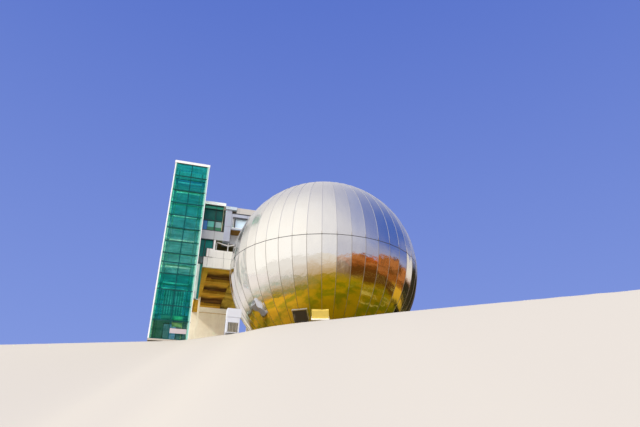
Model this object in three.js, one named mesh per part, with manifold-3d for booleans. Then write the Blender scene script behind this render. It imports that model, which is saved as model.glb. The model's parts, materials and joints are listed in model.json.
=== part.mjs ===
import * as THREE from 'three';
import { mergeVertices } from 'three/addons/utils/BufferGeometryUtils.js';
import Module from 'manifold-3d';

// Observatory building: a steel sphere with a gallery block and a glass lift tower.
// Millimetres, +Z up. The origin is on the ground, on the sphere's vertical axis.

const wasm = await Module();
wasm.setup();

// Sphere of flat gores, slightly lower than it is wide
const JOINT = 0.3;                 // gap between pieces that touch
const DOME_RADIUS = 8750;
const DOME_RISE = 8650;
const DOME_CENTRE_Z = 7000;
const GORES = 45;
const FIRST_SEAM_DEG = 252.65;     // plan angle of one seam, from +X towards +Y
const SHELL = 150;                 // frame, insulation and cladding together
const SECTORS = 5;
const GORES_BEFORE_FIRST_SECTOR = 6;
const UPPER_STEPS = 12;
const LOWER_STEPS = 7;
const CROWN_RADIUS = 900;
const EQUATOR_SEAM = 60;           // height of the ring's edge that shows in the seam
const EQUATOR_RECESS = 25;
const EQUATOR_DEPTH = 400;

// Foot and floors of the sphere
const FOOT_HEIGHT = 280;
const FOOT_OUTER = 5560;
const FOOT_INNER = 5150;
const GROUND_SLAB = 200;
const DECK_Z = 8300;               // main floor, level with the gallery's deck
const DOME_FLOOR = 200;

// Hatch and service panel low on the sphere
const HATCH = { angle: 237.25, z: 1045, width: 1280, height: 1160, rim: 60, inside: 200, outside: 60 };
const PANEL = { angle: 251.5, z: 1115, width: 1340, height: 700, inside: 150, outside: 60 };
const LEDGE = { width: 1440, thickness: 70, outside: 210 };

// Doorway from the gallery's deck into the sphere
const DOOR_Y0 = 3900;
const DOOR_Y1 = 5100;
const DOOR_TOP = 10400;

// Lift tower
const TOWER_X0 = -14970;
const TOWER_X1 = -11590;
const TOWER_Y0 = 1930;
const TOWER_Y1 = 5150;
const TOWER_BASE = 150;
const TOWER_TOP = 18110;
const TOWER_ROOF = 260;
const TOWER_ROOF_LIP = 40;
const TOWER_POST = 200;
const TOWER_MULLION = 90;
const TOWER_TRANSOM = 70;
const TOWER_FRAME = 110;
const TRANSOMS = [1800, 3150, 4600, 6100, 7200, 8100, 9300, 10700, 12050, 13400, 14800, 16400];
const GLASS = 24;
const LIFT_DOOR_WIDTH = 1200;
const LIFT_DOOR_HEIGHT = 2150;
const LANDING_Y = 4200;

// Gallery block
const BLOCK_X0 = -11100;
const BLOCK_X1 = -2800;
const LINK_X1 = -11060;            // right end of the link between tower and gallery
const FRONT_Y = 3280;
const REAR_Y = 19000;
const FRONT_DEPTH = 200;
const WALL = 250;
const DECK_SLAB = 388;
const DECK_SOFFIT = 7612;          // underside of the deck's beams
const UPPER_FLOOR_Z = 11000;
const UPPER_FLOOR = 300;
const ROOF_SOFFIT = 14050;
const ROOF_TOP = 14350;
const LINK_REAR = 5350;
const BEAM = 300;
const EDGE_BEAM = 450;
const CROSS_BEAMS_Y = [7300, 11150, 15000];
const INNER_BEAM_X = -8300;
const GATE_X0 = -6900;             // gateway through the rear wall
const GATE_X1 = -4300;
const COLUMN = 200;
const COLUMN_Y = 12700;

// Gallery front, from left to right
const FASCIA_TOP = 8650;
const PARAPET_TOP = 9480;
const PARAPET_SETBACK = 50;
const BOX_X0 = -10844;
const BOX_X1 = -10269;
const BOX_TOP = 9510;
const BOX_PROUD = 60;
const POST_WIDTH = 190;
const SPANDREL_Z = 10540;
const SPANDREL_TOP = 11450;
const BAY_GLASS_X1 = -9600;
const GLAZING_BAR = 70;
const UPPER_TRANSOM_Z = 12650;
const COPING_TOP = 14690;
const PIER_X0 = -9400;
const PIER_X1 = -8756;
const CAP_X0 = -9445;
const CAP_X1 = -8317;
const CAP_Z = 14021;
const CAP_PROUD = 150;
const BAY_DEPTH = 1400;
const BAY_Z = 11900;
const BAY_SILL = 12060;
const BAY_HEAD = 13300;
const BAY_LIGHTS = [[-8640, -8400], [-8330, -6700]];
const ROOF_FASCIA_Z = 13720;
const ROOF_FASCIA_PROUD = 50;

// Windows of the sides that repeat the front's storeys
const WINDOW_WIDTH = 1800;
const LEFT_WINDOWS = 4;
const REAR_WINDOWS = 3;
const RIGHT_WINDOWS = 2;
const RIGHT_WINDOWS_Y = 10500;     // they start behind the sphere
const WINDOW_ROWS = [[9300, 10400], [BAY_SILL, BAY_HEAD]];
const PARAPET_HEIGHT = 220;

// Condenser beside the sphere
const CONDENSER = { x0: -8906, x1: -7735, y0: -2450, y1: -1550, plinth: 320, top: 2080 };

const UP = new THREE.Vector3(0, 0, 1);
const LIMIT = 20000;               // longer than any piece, for cutters
const CUT = 50;                    // how far a cutter passes through a face
const LAP = 1;                     // overlap of boxes that are joined into one solid
const WELD = 0.001;                // corners closer than this are one corner
const SCRIBE_X = -4000;            // pieces run in to here before they are scribed to the sphere

const finishes = {
  steel: [0xd9d6d0, 0.3, 0.9],
  ring: [0x3c3d40, 0.5, 0.7],
  concrete: [0xb9b2a4, 0.9, 0],
  white: [0xe3e3ea, 0.55, 0.1],
  trim: [0xe8f0ee, 0.45, 0.2],
  dark: [0x2c3a3a, 0.5, 0.5],
  teal: [0x0a8780, 0.12, 0],
  blueGlass: [0x8fa6c4, 0.15, 0],
  darkGlass: [0x0d4a45, 0.12, 0],
  render: [0xe9dcc3, 0.85, 0],
  ochre: [0xb98a3a, 0.8, 0],
  grille: [0x55575c, 0.6, 0.3],
};

const building = new THREE.Group();

function finish(name) {
  const [color, roughness, metalness] = finishes[name];
  return new THREE.MeshStandardMaterial({ color, roughness, metalness });
}

function place(name, geometry, finishName) {
  const mesh = new THREE.Mesh(geometry, finish(finishName));
  mesh.name = name;
  building.add(mesh);
}

// Boxes and outlines
function block(x0, x1, y0, y1, z0, z1) {
  const box = new THREE.BoxGeometry(x1 - x0, y1 - y0, z1 - z0);
  return box.translate((x0 + x1) / 2, (y0 + y1) / 2, (z0 + z1) / 2);
}

function outline(points) {
  return new THREE.Shape(points.map(([x, y]) => new THREE.Vector2(x, y)));
}

function slab(points, z0, z1) {
  const plate = new THREE.ExtrudeGeometry(outline(points), { depth: z1 - z0, bevelEnabled: false });
  return plate.translate(0, 0, z0);
}

// An upright panel with holes. Its outline and its holes are [low, high, bottom, top], measured
// along X where it faces Y, and along Y where it faces X.
function facingY([low, high, bottom, top], holes, y0, y1) {
  const tools = holes.map(([a, b, z0, z1]) => block(a, b, y0 - CUT, y1 + CUT, z0, z1));
  return cut(block(low, high, y0, y1, bottom, top), ...tools);
}

function facingX([low, high, bottom, top], holes, x0, x1) {
  const tools = holes.map(([a, b, z0, z1]) => block(x0 - CUT, x1 + CUT, a, b, z0, z1));
  return cut(block(x0, x1, low, high, bottom, top), ...tools);
}

// Joining and cutting
function solidOf(geometry) {
  const bare = geometry.clone();
  bare.deleteAttribute('normal');
  bare.deleteAttribute('uv');
  const merged = mergeVertices(bare, WELD);
  const at = merged.getAttribute('position').array;
  const corner = (i) => new THREE.Vector3(at[3 * i], at[3 * i + 1], at[3 * i + 2]);
  const faces = [];
  let volume = 0;
  for (let i = 0; i < merged.index.count; i += 3) {
    const [a, b, c] = merged.index.array.slice(i, i + 3);
    if (a === b || b === c || c === a) continue;
    faces.push([a, b, c]);
    volume += corner(a).dot(corner(b).cross(corner(c)));
  }
  const outward = volume > 0 ? faces : faces.map(([a, b, c]) => [a, c, b]);
  const triVerts = new Uint32Array(outward.flat());
  const mesh = { numProp: 3, vertProperties: new Float32Array(at), triVerts };
  return new wasm.Manifold(new wasm.Mesh(mesh));
}

function geometryOf(solid) {
  const mesh = solid.getMesh();
  const geometry = new THREE.BufferGeometry();
  geometry.setAttribute('position', new THREE.BufferAttribute(mesh.vertProperties, 3));
  geometry.setIndex(new THREE.BufferAttribute(mesh.triVerts, 1));
  return geometry;
}

function join(...geometries) {
  return geometryOf(geometries.map(solidOf).reduce((all, next) => all.add(next)));
}

function cut(geometry, ...tools) {
  return geometryOf(tools.map(solidOf).reduce((left, tool) => left.subtract(tool), solidOf(geometry)));
}

function common(geometry, other) {
  return geometryOf(solidOf(geometry).intersect(solidOf(other)));
}

// Sphere
function latitudeAt(z, inset) {
  return Math.asin((z - DOME_CENTRE_Z) / (DOME_RISE - inset));
}

function domePoint(latitude, inset) {
  const radius = (DOME_RADIUS - inset) * Math.cos(latitude);
  return new THREE.Vector2(radius, DOME_CENTRE_Z + (DOME_RISE - inset) * Math.sin(latitude));
}

function meridian(from, to, inset, steps) {
  const arc = [];
  for (let i = 0; i <= steps; i += 1) {
    arc.push(domePoint(THREE.MathUtils.lerp(from, to, i / steps), inset));
  }
  return arc;
}

// A closed profile of (radius, height), turned round the vertical axis with a corner at each seam
function turned(profile) {
  const start = THREE.MathUtils.degToRad(FIRST_SEAM_DEG + 90);
  const lathe = new THREE.LatheGeometry([...profile, profile[0]], GORES, start, 2 * Math.PI);
  return lathe.rotateX(Math.PI / 2);
}

function annulus(inner, outer, z0, z1) {
  const ring = [[outer, z0], [outer, z1], [inner, z1], [inner, z0]];
  return turned(ring.map(([radius, z]) => new THREE.Vector2(radius, z)));
}

function lowerArc(inset) {
  const high = DOME_CENTRE_Z - EQUATOR_SEAM / 2 - JOINT;
  return meridian(latitudeAt(FOOT_HEIGHT, inset), latitudeAt(high, inset), inset, LOWER_STEPS);
}

function upperArc(inset) {
  const low = DOME_CENTRE_Z + EQUATOR_SEAM / 2 + JOINT;
  const high = Math.acos(CROWN_RADIUS / DOME_RADIUS);
  return meridian(latitudeAt(low, inset), high, inset, UPPER_STEPS);
}

// The sphere as a closed mass down to the ground, moved out or in by an inset
function domeMass(inset) {
  const lower = lowerArc(inset);
  const top = domePoint(Math.PI / 2, inset).setX(0);
  const foot = [new THREE.Vector2(0, 0), new THREE.Vector2(lower[0].x, 0)];
  return turned([...foot, ...lower, ...upperArc(inset), top]);
}

function shellRing(arc) {
  return turned([...arc(0), ...arc(SHELL).reverse()]);
}

// A slice of nine gores, drawn in from both its seams by half a joint
function sectorWedge(index) {
  const span = 2 * Math.PI / SECTORS;
  const firstSeam = FIRST_SEAM_DEG - GORES_BEFORE_FIRST_SECTOR * 360 / GORES;
  const from = THREE.MathUtils.degToRad(firstSeam) + index * span;
  const apex = JOINT / 2 / Math.sin(span / 2);
  const shift = [apex * Math.cos(from + span / 2), apex * Math.sin(from + span / 2)];
  const far = [0, 0.5, 1].map((part) => [
    shift[0] + LIMIT * Math.cos(from + part * span), shift[1] + LIMIT * Math.sin(from + part * span)]);
  return slab([shift, ...far], 0, LIMIT);
}

// A box seated on the shell: width along the gores, height up the meridian, depth outwards
function onShell({ angle, z }, width, height, inside, outside, rise = 0) {
  const turn = THREE.MathUtils.degToRad(angle);
  const latitude = latitudeAt(z, 0);
  const out = new THREE.Vector3(Math.cos(turn), Math.sin(turn), 0);
  const across = new THREE.Vector3(-Math.sin(turn), Math.cos(turn), 0);
  const up = out.clone().multiplyScalar(-Math.sin(latitude)).addScaledVector(UP, Math.cos(latitude));
  const normal = across.clone().cross(up);
  const point = domePoint(latitude, 0);
  const seat = out.multiplyScalar(point.x).setZ(point.y);
  const box = new THREE.BoxGeometry(width, height, inside + outside);
  box.translate(0, rise, (outside - inside) / 2);
  return box.applyMatrix4(new THREE.Matrix4().makeBasis(across, up, normal).setPosition(seat));
}

function shells() {
  const clear = 2 * HATCH.inside;
  const hatchHole = onShell(HATCH, HATCH.width + 2 * JOINT, HATCH.height + 2 * JOINT, clear, clear);
  const doorHole = block(-LIMIT, SCRIBE_X, DOOR_Y0, DOOR_Y1, DECK_Z, DOOR_TOP);
  for (let i = 0; i < SECTORS; i += 1) {
    const wedge = sectorWedge(i);
    place(`upper_shell_${i + 1}`, cut(common(shellRing(upperArc), wedge), doorHole), 'steel');
    place(`lower_shell_${i + 1}`, cut(common(shellRing(lowerArc), wedge), hatchHole), 'steel');
  }
}

function crownCap() {
  const low = Math.acos((CROWN_RADIUS - JOINT) / DOME_RADIUS);
  const outer = meridian(low, Math.PI / 2, 0, 1);
  const inner = meridian(low, Math.PI / 2, SHELL, 1).reverse();
  outer[1].x = 0;
  inner[0].x = 0;
  return turned([...outer, ...inner]);
}

function equatorRing() {
  const outer = DOME_RADIUS - EQUATOR_RECESS;
  const half = EQUATOR_SEAM / 2;
  return annulus(DOME_RADIUS - EQUATOR_DEPTH, outer, DOME_CENTRE_Z - half, DOME_CENTRE_Z + half);
}

function slabInside(radius, z0, z1) {
  const profile = [[0, z0], [radius, z0], [radius, z1], [0, z1]];
  return geometryOf(solidOf(turned(profile.map(([r, z]) => new THREE.Vector2(r, z)))));
}

function sphere() {
  shells();
  place('crown_cap', crownCap(), 'steel');
  place('equator_ring', equatorRing(), 'ring');
  place('foot_ring', annulus(FOOT_INNER, FOOT_OUTER, 0, FOOT_HEIGHT - JOINT), 'concrete');
  place('ground_slab', slabInside(FOOT_INNER - JOINT, 0, GROUND_SLAB), 'concrete');
  const plate = slabInside(DOME_RADIUS, DECK_Z - DOME_FLOOR, DECK_Z);
  place('dome_floor', common(plate, domeMass(SHELL + JOINT)), 'concrete');
}

function sphereFittings() {
  const { width, height, rim, inside, outside } = HATCH;
  const hole = onShell(HATCH, width - 2 * rim, height - 2 * rim, inside * 2, outside * 2);
  place('hatch_frame', cut(onShell(HATCH, width, height, inside, outside), hole), 'trim');
  const skin = domeMass(-JOINT);
  const panel = onShell(PANEL, PANEL.width, PANEL.height, PANEL.inside, PANEL.outside);
  place('service_panel', cut(panel, skin), 'white');
  const drop = -(PANEL.height + LEDGE.thickness) / 2 - JOINT;
  const ledge = onShell(PANEL, LEDGE.width, LEDGE.thickness, PANEL.inside, LEDGE.outside, drop);
  place('panel_ledge', cut(ledge, skin), 'trim');
}

// Pieces of the gallery that run into the sphere are scribed to it
function scribed(geometry) {
  return cut(geometry, domeMass(-JOINT));
}

// Tower: a glazed frame on each face, with a sheet of glass inside it
function paneRows() {
  const levels = [TOWER_BASE, ...TRANSOMS, TOWER_TOP - TOWER_ROOF];
  return levels.slice(1).map((top, row) => [levels[row] + TOWER_TRANSOM / 2, top - TOWER_TRANSOM / 2]);
}

function paneHoles(low, high, post) {
  const middle = (low + high) / 2;
  const columns = [[low + post, middle - TOWER_MULLION / 2], [middle + TOWER_MULLION / 2, high - post]];
  return paneRows().flatMap(([z0, z1]) => columns.map(([a, b]) => [a, b, z0, z1]));
}

function clearOf(holes, doors) {
  return holes.filter(([, , z0, z1]) => doors.every(([, , d0, d1]) => z1 < d0 || z0 > d1));
}

function liftDoor(middle, floor) {
  return [middle - LIFT_DOOR_WIDTH / 2, middle + LIFT_DOOR_WIDTH / 2, floor, floor + LIFT_DOOR_HEIGHT];
}

function tower() {
  const top = TOWER_TOP - TOWER_ROOF - JOINT;
  const low = TOWER_BASE + JOINT;
  const middleX = (TOWER_X0 + TOWER_X1) / 2;
  const entrance = liftDoor(middleX, TOWER_BASE + TOWER_TRANSOM);
  const landings = [DECK_Z, UPPER_FLOOR_Z].map((z) => liftDoor(LANDING_Y, z));
  const across = [TOWER_X0, TOWER_X1, low, top];
  const along = [TOWER_Y0 + TOWER_FRAME + JOINT, TOWER_Y1 - TOWER_FRAME - JOINT, low, top];
  const frontPanes = paneHoles(TOWER_X0, TOWER_X1, TOWER_POST);
  const sidePanes = paneHoles(along[0], along[1], TOWER_POST / 2);
  const backPanes = [...clearOf(frontPanes, [entrance]), entrance];
  const rightPanes = [...clearOf(sidePanes, landings), ...landings];

  place('tower_base', block(TOWER_X0, TOWER_X1, TOWER_Y0, TOWER_Y1, 0, TOWER_BASE), 'concrete');
  place('tower_front_frame', facingY(across, frontPanes, TOWER_Y0, TOWER_Y0 + TOWER_FRAME), 'trim');
  place('tower_back_frame', facingY(across, backPanes, TOWER_Y1 - TOWER_FRAME, TOWER_Y1), 'trim');
  place('tower_left_frame', facingX(along, sidePanes, TOWER_X0, TOWER_X0 + TOWER_FRAME), 'trim');
  place('tower_right_frame', facingX(along, rightPanes, TOWER_X1 - TOWER_FRAME, TOWER_X1), 'trim');

  const inset = TOWER_FRAME + JOINT;
  const acrossGlass = [TOWER_X0 + inset, TOWER_X1 - inset, low, top];
  const alongGlass = [along[0] + GLASS + JOINT, along[1] - GLASS - JOINT, low, top];
  const frontY = TOWER_Y0 + inset;
  const backY = TOWER_Y1 - inset;
  place('tower_front_glass', facingY(acrossGlass, [], frontY, frontY + GLASS), 'teal');
  place('tower_back_glass', facingY(acrossGlass, [entrance], backY - GLASS, backY), 'teal');
  place('tower_left_glass', facingX(alongGlass, [], TOWER_X0 + inset, TOWER_X0 + inset + GLASS), 'teal');
  const rightX = TOWER_X1 - inset;
  place('tower_right_glass', facingX(alongGlass, landings, rightX - GLASS, rightX), 'teal');

  const lip = TOWER_ROOF_LIP;
  const [roofX0, roofX1, roofY0, roofY1] = [TOWER_X0 - lip, TOWER_X1 + lip, TOWER_Y0 - lip, TOWER_Y1 + lip];
  place('tower_roof', block(roofX0, roofX1, roofY0, roofY1, top + JOINT, TOWER_TOP), 'trim');
}

// Gallery: slabs on beams, with the front stepped round the terrace and the bay
function blockSlab(z0, z1) {
  const x0 = TOWER_X1 + JOINT;
  const y0 = FRONT_Y + FRONT_DEPTH + JOINT;
  return slab([[x0, y0], [BLOCK_X1, y0], [BLOCK_X1, REAR_Y], [BLOCK_X0, REAR_Y],
    [BLOCK_X0, LINK_REAR], [x0, LINK_REAR]], z0, z1);
}

function deck() {
  const y0 = FRONT_Y + FRONT_DEPTH + JOINT;
  const beamTop = DECK_Z - DECK_SLAB + LAP;
  const along = [BLOCK_X0, INNER_BEAM_X, BLOCK_X1 - EDGE_BEAM];
  const across = [...CROSS_BEAMS_Y, REAR_Y - BEAM];
  const beams = [
    ...along.map((x) => block(x, x + EDGE_BEAM, y0, REAR_Y, DECK_SOFFIT, beamTop)),
    ...across.map((y) => block(BLOCK_X0, BLOCK_X1, y, y + BEAM, DECK_SOFFIT, beamTop)),
  ];
  return scribed(join(blockSlab(DECK_Z - DECK_SLAB, DECK_Z), ...beams));
}

function upperFloor() {
  const x0 = TOWER_X1 + JOINT;
  const y0 = FRONT_Y + FRONT_DEPTH + JOINT;
  const bayRear = FRONT_Y + BAY_DEPTH + WALL + JOINT;
  const lining = GLASS + 2 * JOINT;
  const left = BLOCK_X0 + WALL + lining;
  const right = BLOCK_X1 - WALL - lining;
  const rear = REAR_Y - WALL - lining;
  const linkRear = LINK_REAR - WALL - JOINT;
  const points = [[x0, y0 + lining], [PIER_X0 - JOINT, y0 + lining], [PIER_X0 - JOINT, bayRear],
    [right, bayRear], [right, rear], [left, rear], [left, linkRear], [x0, linkRear]];
  return scribed(slab(points, UPPER_FLOOR_Z - UPPER_FLOOR, UPPER_FLOOR_Z));
}

function windowsBetween(low, high, count) {
  const pitch = (high - low) / count;
  const holes = [];
  for (let i = 0; i < count; i += 1) {
    const middle = low + (i + 0.5) * pitch;
    for (const [z0, z1] of WINDOW_ROWS) {
      holes.push([middle - WINDOW_WIDTH / 2, middle + WINDOW_WIDTH / 2, z0, z1]);
    }
  }
  return holes;
}

function sideWalls() {
  const z0 = DECK_Z + JOINT;
  const z1 = ROOF_SOFFIT - JOINT;
  const inner = BLOCK_X0 + WALL;
  const rear = REAR_Y - WALL;
  const leftHoles = windowsBetween(LINK_REAR, rear, LEFT_WINDOWS);
  const rearHoles = windowsBetween(inner, BLOCK_X1 - WALL, REAR_WINDOWS);
  const rightHoles = windowsBetween(RIGHT_WINDOWS_Y, rear, RIGHT_WINDOWS);
  const leftWall = join(facingX([LINK_REAR - WALL, rear - JOINT, z0, z1], leftHoles, BLOCK_X0, inner),
    block(TOWER_X1 + JOINT, inner, LINK_REAR - WALL, LINK_REAR, z0, z1));
  place('left_wall', leftWall, 'white');
  place('rear_wall', facingY([BLOCK_X0, BLOCK_X1, z0, z1], rearHoles, rear, REAR_Y), 'white');
  const rightEdge = [FRONT_Y + FRONT_DEPTH + JOINT, rear - JOINT, z0, z1];
  place('right_wall', scribed(facingX(rightEdge, rightHoles, BLOCK_X1 - WALL, BLOCK_X1)), 'white');

  const glassX0 = inner + JOINT;
  const glassX1 = BLOCK_X1 - WALL - JOINT;
  const glassY1 = rear - JOINT;
  const sheet = (low, high) => [low, high, z0 + WALL, z1 - WALL];
  const left = sheet(LINK_REAR + WALL, rear - WALL);
  const back = sheet(inner + WALL, BLOCK_X1 - 2 * WALL);
  const right = sheet(RIGHT_WINDOWS_Y, rear - WALL);
  place('left_glass', facingX(left, [], glassX0, glassX0 + GLASS), 'blueGlass');
  place('rear_glass', facingY(back, [], glassY1 - GLASS, glassY1), 'blueGlass');
  place('right_glass', facingX(right, [], glassX1 - GLASS, glassX1), 'blueGlass');
}

function frontLeft() {
  const back = FRONT_Y + FRONT_DEPTH;
  const x0 = TOWER_X1 + JOINT;
  const bar = GLAZING_BAR;
  const parapetY = FRONT_Y + PARAPET_SETBACK;
  const fascia = block(LINK_X1 + JOINT, SCRIBE_X, FRONT_Y, back, DECK_SOFFIT, FASCIA_TOP - JOINT);
  place('deck_fascia', scribed(fascia), 'white');
  const parapet = join(
    block(BOX_X0, BOX_X1, FRONT_Y - BOX_PROUD, back, FASCIA_TOP, BOX_TOP),
    block(BOX_X1 - LAP, SCRIBE_X, parapetY, back, FASCIA_TOP, PARAPET_TOP));
  place('terrace_parapet', scribed(parapet), 'white');
  const head = SPANDREL_Z - JOINT;
  const post = block(BOX_X1 + JOINT, BOX_X1 + POST_WIDTH, parapetY, back, PARAPET_TOP + JOINT, head);
  place('terrace_post', post, 'trim');

  const linkFoot = DECK_Z - DECK_SLAB;
  const lowFrame = join(
    block(x0, LINK_X1, FRONT_Y, back, linkFoot, head),
    block(LINK_X1 - LAP, BOX_X0 - JOINT, FRONT_Y, back, FASCIA_TOP, head),
    block(BOX_X0 - 2 * LAP, BOX_X1 - JOINT, FRONT_Y, back, BOX_TOP + JOINT, head));
  const lowPanes = [
    [x0 + bar, LINK_X1 - bar, linkFoot + bar, head - bar],
    [LINK_X1, BOX_X0 - bar, FASCIA_TOP + bar, head - bar],
    [LINK_X1, BOX_X1 - bar, BOX_TOP + bar, head - bar],
  ].map(([low, high, z0, z1]) => block(low, high, FRONT_Y - CUT, back + CUT, z0, z1));
  place('link_frame_lower', cut(lowFrame, ...lowPanes), 'dark');

  place('front_spandrel', block(x0, PIER_X0 - JOINT, FRONT_Y, back, SPANDREL_Z, SPANDREL_TOP), 'white');
  const frame = [x0, BAY_GLASS_X1, SPANDREL_TOP + JOINT, ROOF_TOP];
  const rows = [[SPANDREL_TOP + bar, UPPER_TRANSOM_Z], [UPPER_TRANSOM_Z + bar, ROOF_TOP - bar]];
  const columns = [[x0 + bar, BOX_X1 - bar / 2], [BOX_X1 + bar / 2, BAY_GLASS_X1 - bar]];
  const panes = rows.flatMap(([z0, z1]) => columns.map(([low, high]) => [low, high, z0, z1]));
  place('link_frame_upper', facingY(frame, panes, FRONT_Y, back), 'dark');
  const paneY = back + JOINT;
  const glassTop = ROOF_SOFFIT - JOINT;
  const sheet = join(
    block(x0 + bar / 2, BOX_X0, paneY, paneY + GLASS, FASCIA_TOP + bar / 2, SPANDREL_TOP),
    block(BOX_X0 - LAP, BOX_X1 - bar / 2, paneY, paneY + GLASS, BOX_TOP + bar / 2, SPANDREL_TOP),
    block(x0 + bar / 2, BAY_GLASS_X1 - bar / 2, paneY, paneY + GLASS, SPANDREL_TOP - LAP, glassTop));
  place('link_glass', sheet, 'darkGlass');
  const coping = block(x0, CAP_X0 - JOINT, FRONT_Y - BOX_PROUD, back + WALL, ROOF_TOP + JOINT, COPING_TOP);
  place('front_coping', coping, 'trim');
}

function frontRight() {
  const back = FRONT_Y + FRONT_DEPTH;
  const bayRear = FRONT_Y + BAY_DEPTH;
  const pier = block(PIER_X0, PIER_X1 - JOINT, FRONT_Y, bayRear - JOINT, SPANDREL_Z, CAP_Z - JOINT);
  place('front_pier', pier, 'white');
  place('pier_cap', block(CAP_X0, CAP_X1 - JOINT, FRONT_Y - CAP_PROUD, back, CAP_Z, ROOF_TOP), 'trim');
  const fascia = block(CAP_X1, BLOCK_X1, FRONT_Y - ROOF_FASCIA_PROUD, back, ROOF_FASCIA_Z, ROOF_TOP);
  place('roof_fascia', scribed(fascia), 'render');
  const bayTop = ROOF_FASCIA_Z - JOINT;
  const bayWall = facingY([PIER_X1, SCRIBE_X, BAY_Z, bayTop],
    BAY_LIGHTS.map(([x0, x1]) => [x0, x1, BAY_SILL, BAY_HEAD]), FRONT_Y, back);
  place('bay_front', scribed(bayWall), 'white');
  const glassY = back + JOINT;
  const bayPane = block(PIER_X1, SCRIBE_X, glassY, glassY + GLASS, BAY_SILL + JOINT, bayTop);
  place('bay_glass', scribed(bayPane), 'blueGlass');
  place('bay_floor', scribed(block(PIER_X1, SCRIBE_X, glassY, bayRear, BAY_Z, BAY_SILL)), 'ochre');
  const upstand = block(PIER_X0, SCRIBE_X, bayRear, bayRear + WALL, SPANDREL_Z, BAY_Z - JOINT);
  place('terrace_back_wall', scribed(upstand), 'white');
}

function roof() {
  place('roof_slab', scribed(blockSlab(ROOF_SOFFIT, ROOF_TOP - JOINT)), 'white');
  const top = ROOF_TOP + PARAPET_HEIGHT;
  const front = FRONT_Y + FRONT_DEPTH + WALL + JOINT;
  const edges = join(
    block(BLOCK_X0, BLOCK_X0 + WALL, LINK_REAR, REAR_Y, ROOF_TOP, top),
    block(BLOCK_X0, BLOCK_X1, REAR_Y - WALL, REAR_Y, ROOF_TOP, top),
    block(BLOCK_X1 - WALL, BLOCK_X1, front, REAR_Y, ROOF_TOP, top));
  place('roof_parapet', scribed(edges), 'white');
}

function undercroft() {
  const top = DECK_SOFFIT - JOINT;
  const y0 = REAR_Y - BEAM;
  place('lower_rear_wall', block(BLOCK_X0, GATE_X0, y0, REAR_Y, 0, top), 'render');
  place('lower_rear_pier', block(GATE_X1, BLOCK_X1, y0, REAR_Y, 0, top), 'render');
  const columns = [BLOCK_X0 + EDGE_BEAM + COLUMN / 2, BLOCK_X1 - EDGE_BEAM / 2];
  columns.forEach((x, i) => {
    const column = block(x - COLUMN / 2, x + COLUMN / 2, COLUMN_Y, COLUMN_Y + COLUMN, 0, top);
    place(`deck_column_${i + 1}`, column, 'white');
  });
}

function condenser() {
  const { x0, x1, y0, y1, plinth, top } = CONDENSER;
  place('condenser_plinth', block(x0, x1, y0, y1, 0, plinth - JOINT), 'concrete');
  place('condenser_case', block(x0, x1, y0, y1, plinth, top), 'grille');
}

sphere();
sphereFittings();
tower();
place('deck_slab', deck(), 'ochre');
place('upper_floor', upperFloor(), 'white');
sideWalls();
frontLeft();
frontRight();
roof();
undercroft();
condenser();

export default building;
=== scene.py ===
"""Looks of an observatory building: a steel sphere, a gallery block and a glazed lift tower.

Metres. The ground is z = 0 and the sphere stands on the vertical axis.
"""
import json
import math
from functools import partialmethod

import bpy
import numpy as np
from mathutils import Matrix, Vector

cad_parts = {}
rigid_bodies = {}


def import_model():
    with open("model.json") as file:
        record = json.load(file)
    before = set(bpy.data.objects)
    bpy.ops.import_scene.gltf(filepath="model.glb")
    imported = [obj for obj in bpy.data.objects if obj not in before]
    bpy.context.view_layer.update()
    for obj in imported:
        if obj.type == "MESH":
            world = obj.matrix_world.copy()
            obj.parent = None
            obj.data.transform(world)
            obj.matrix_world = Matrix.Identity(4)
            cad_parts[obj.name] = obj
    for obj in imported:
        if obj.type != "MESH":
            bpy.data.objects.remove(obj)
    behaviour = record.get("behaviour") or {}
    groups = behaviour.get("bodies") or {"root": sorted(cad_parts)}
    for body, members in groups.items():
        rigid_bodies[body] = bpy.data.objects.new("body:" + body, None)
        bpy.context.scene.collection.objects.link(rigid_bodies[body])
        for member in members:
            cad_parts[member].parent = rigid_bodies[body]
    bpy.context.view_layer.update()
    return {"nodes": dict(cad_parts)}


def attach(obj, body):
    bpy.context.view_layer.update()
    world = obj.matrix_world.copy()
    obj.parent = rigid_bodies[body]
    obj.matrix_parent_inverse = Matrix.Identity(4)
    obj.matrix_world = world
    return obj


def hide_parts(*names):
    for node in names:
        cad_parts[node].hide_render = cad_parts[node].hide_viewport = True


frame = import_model()

# Sphere
RADIUS = 8.75
RISE = 8.65
CENTRE_Z = 7.0
GORES = 45
GORE_ANGLE = 2 * math.pi / GORES
FIRST_SEAM = math.radians(252.65)
PANEL_INSET = 0.016          # the panels lie under the seam battens
PANEL_THICKNESS = 0.03
SHELL = 0.15
FOOT_Z = 0.285
EQUATOR_HALF = 0.03
CROWN_RADIUS = 0.9
BATTEN_WIDTH = 0.042
CAP_WAVE = 0.0025            # height of the waves in the upper gores
BOWL_WAVE = 0.0045           # and in the lower ones

# Hatch and doorway in the sphere
HATCH_ANGLE = math.radians(237.25)
HATCH_Z = 1.045
HATCH_SIZE = (1.281, 1.161)
HATCH_EDGE = 0.09            # how near to the hatch a seam's batten is broken off
LINING_GAP = 0.1             # how far the lining stays from the doorway
DOOR_Y = (3.9, 5.1)
DOOR_Z = (8.3, 10.4)

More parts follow.
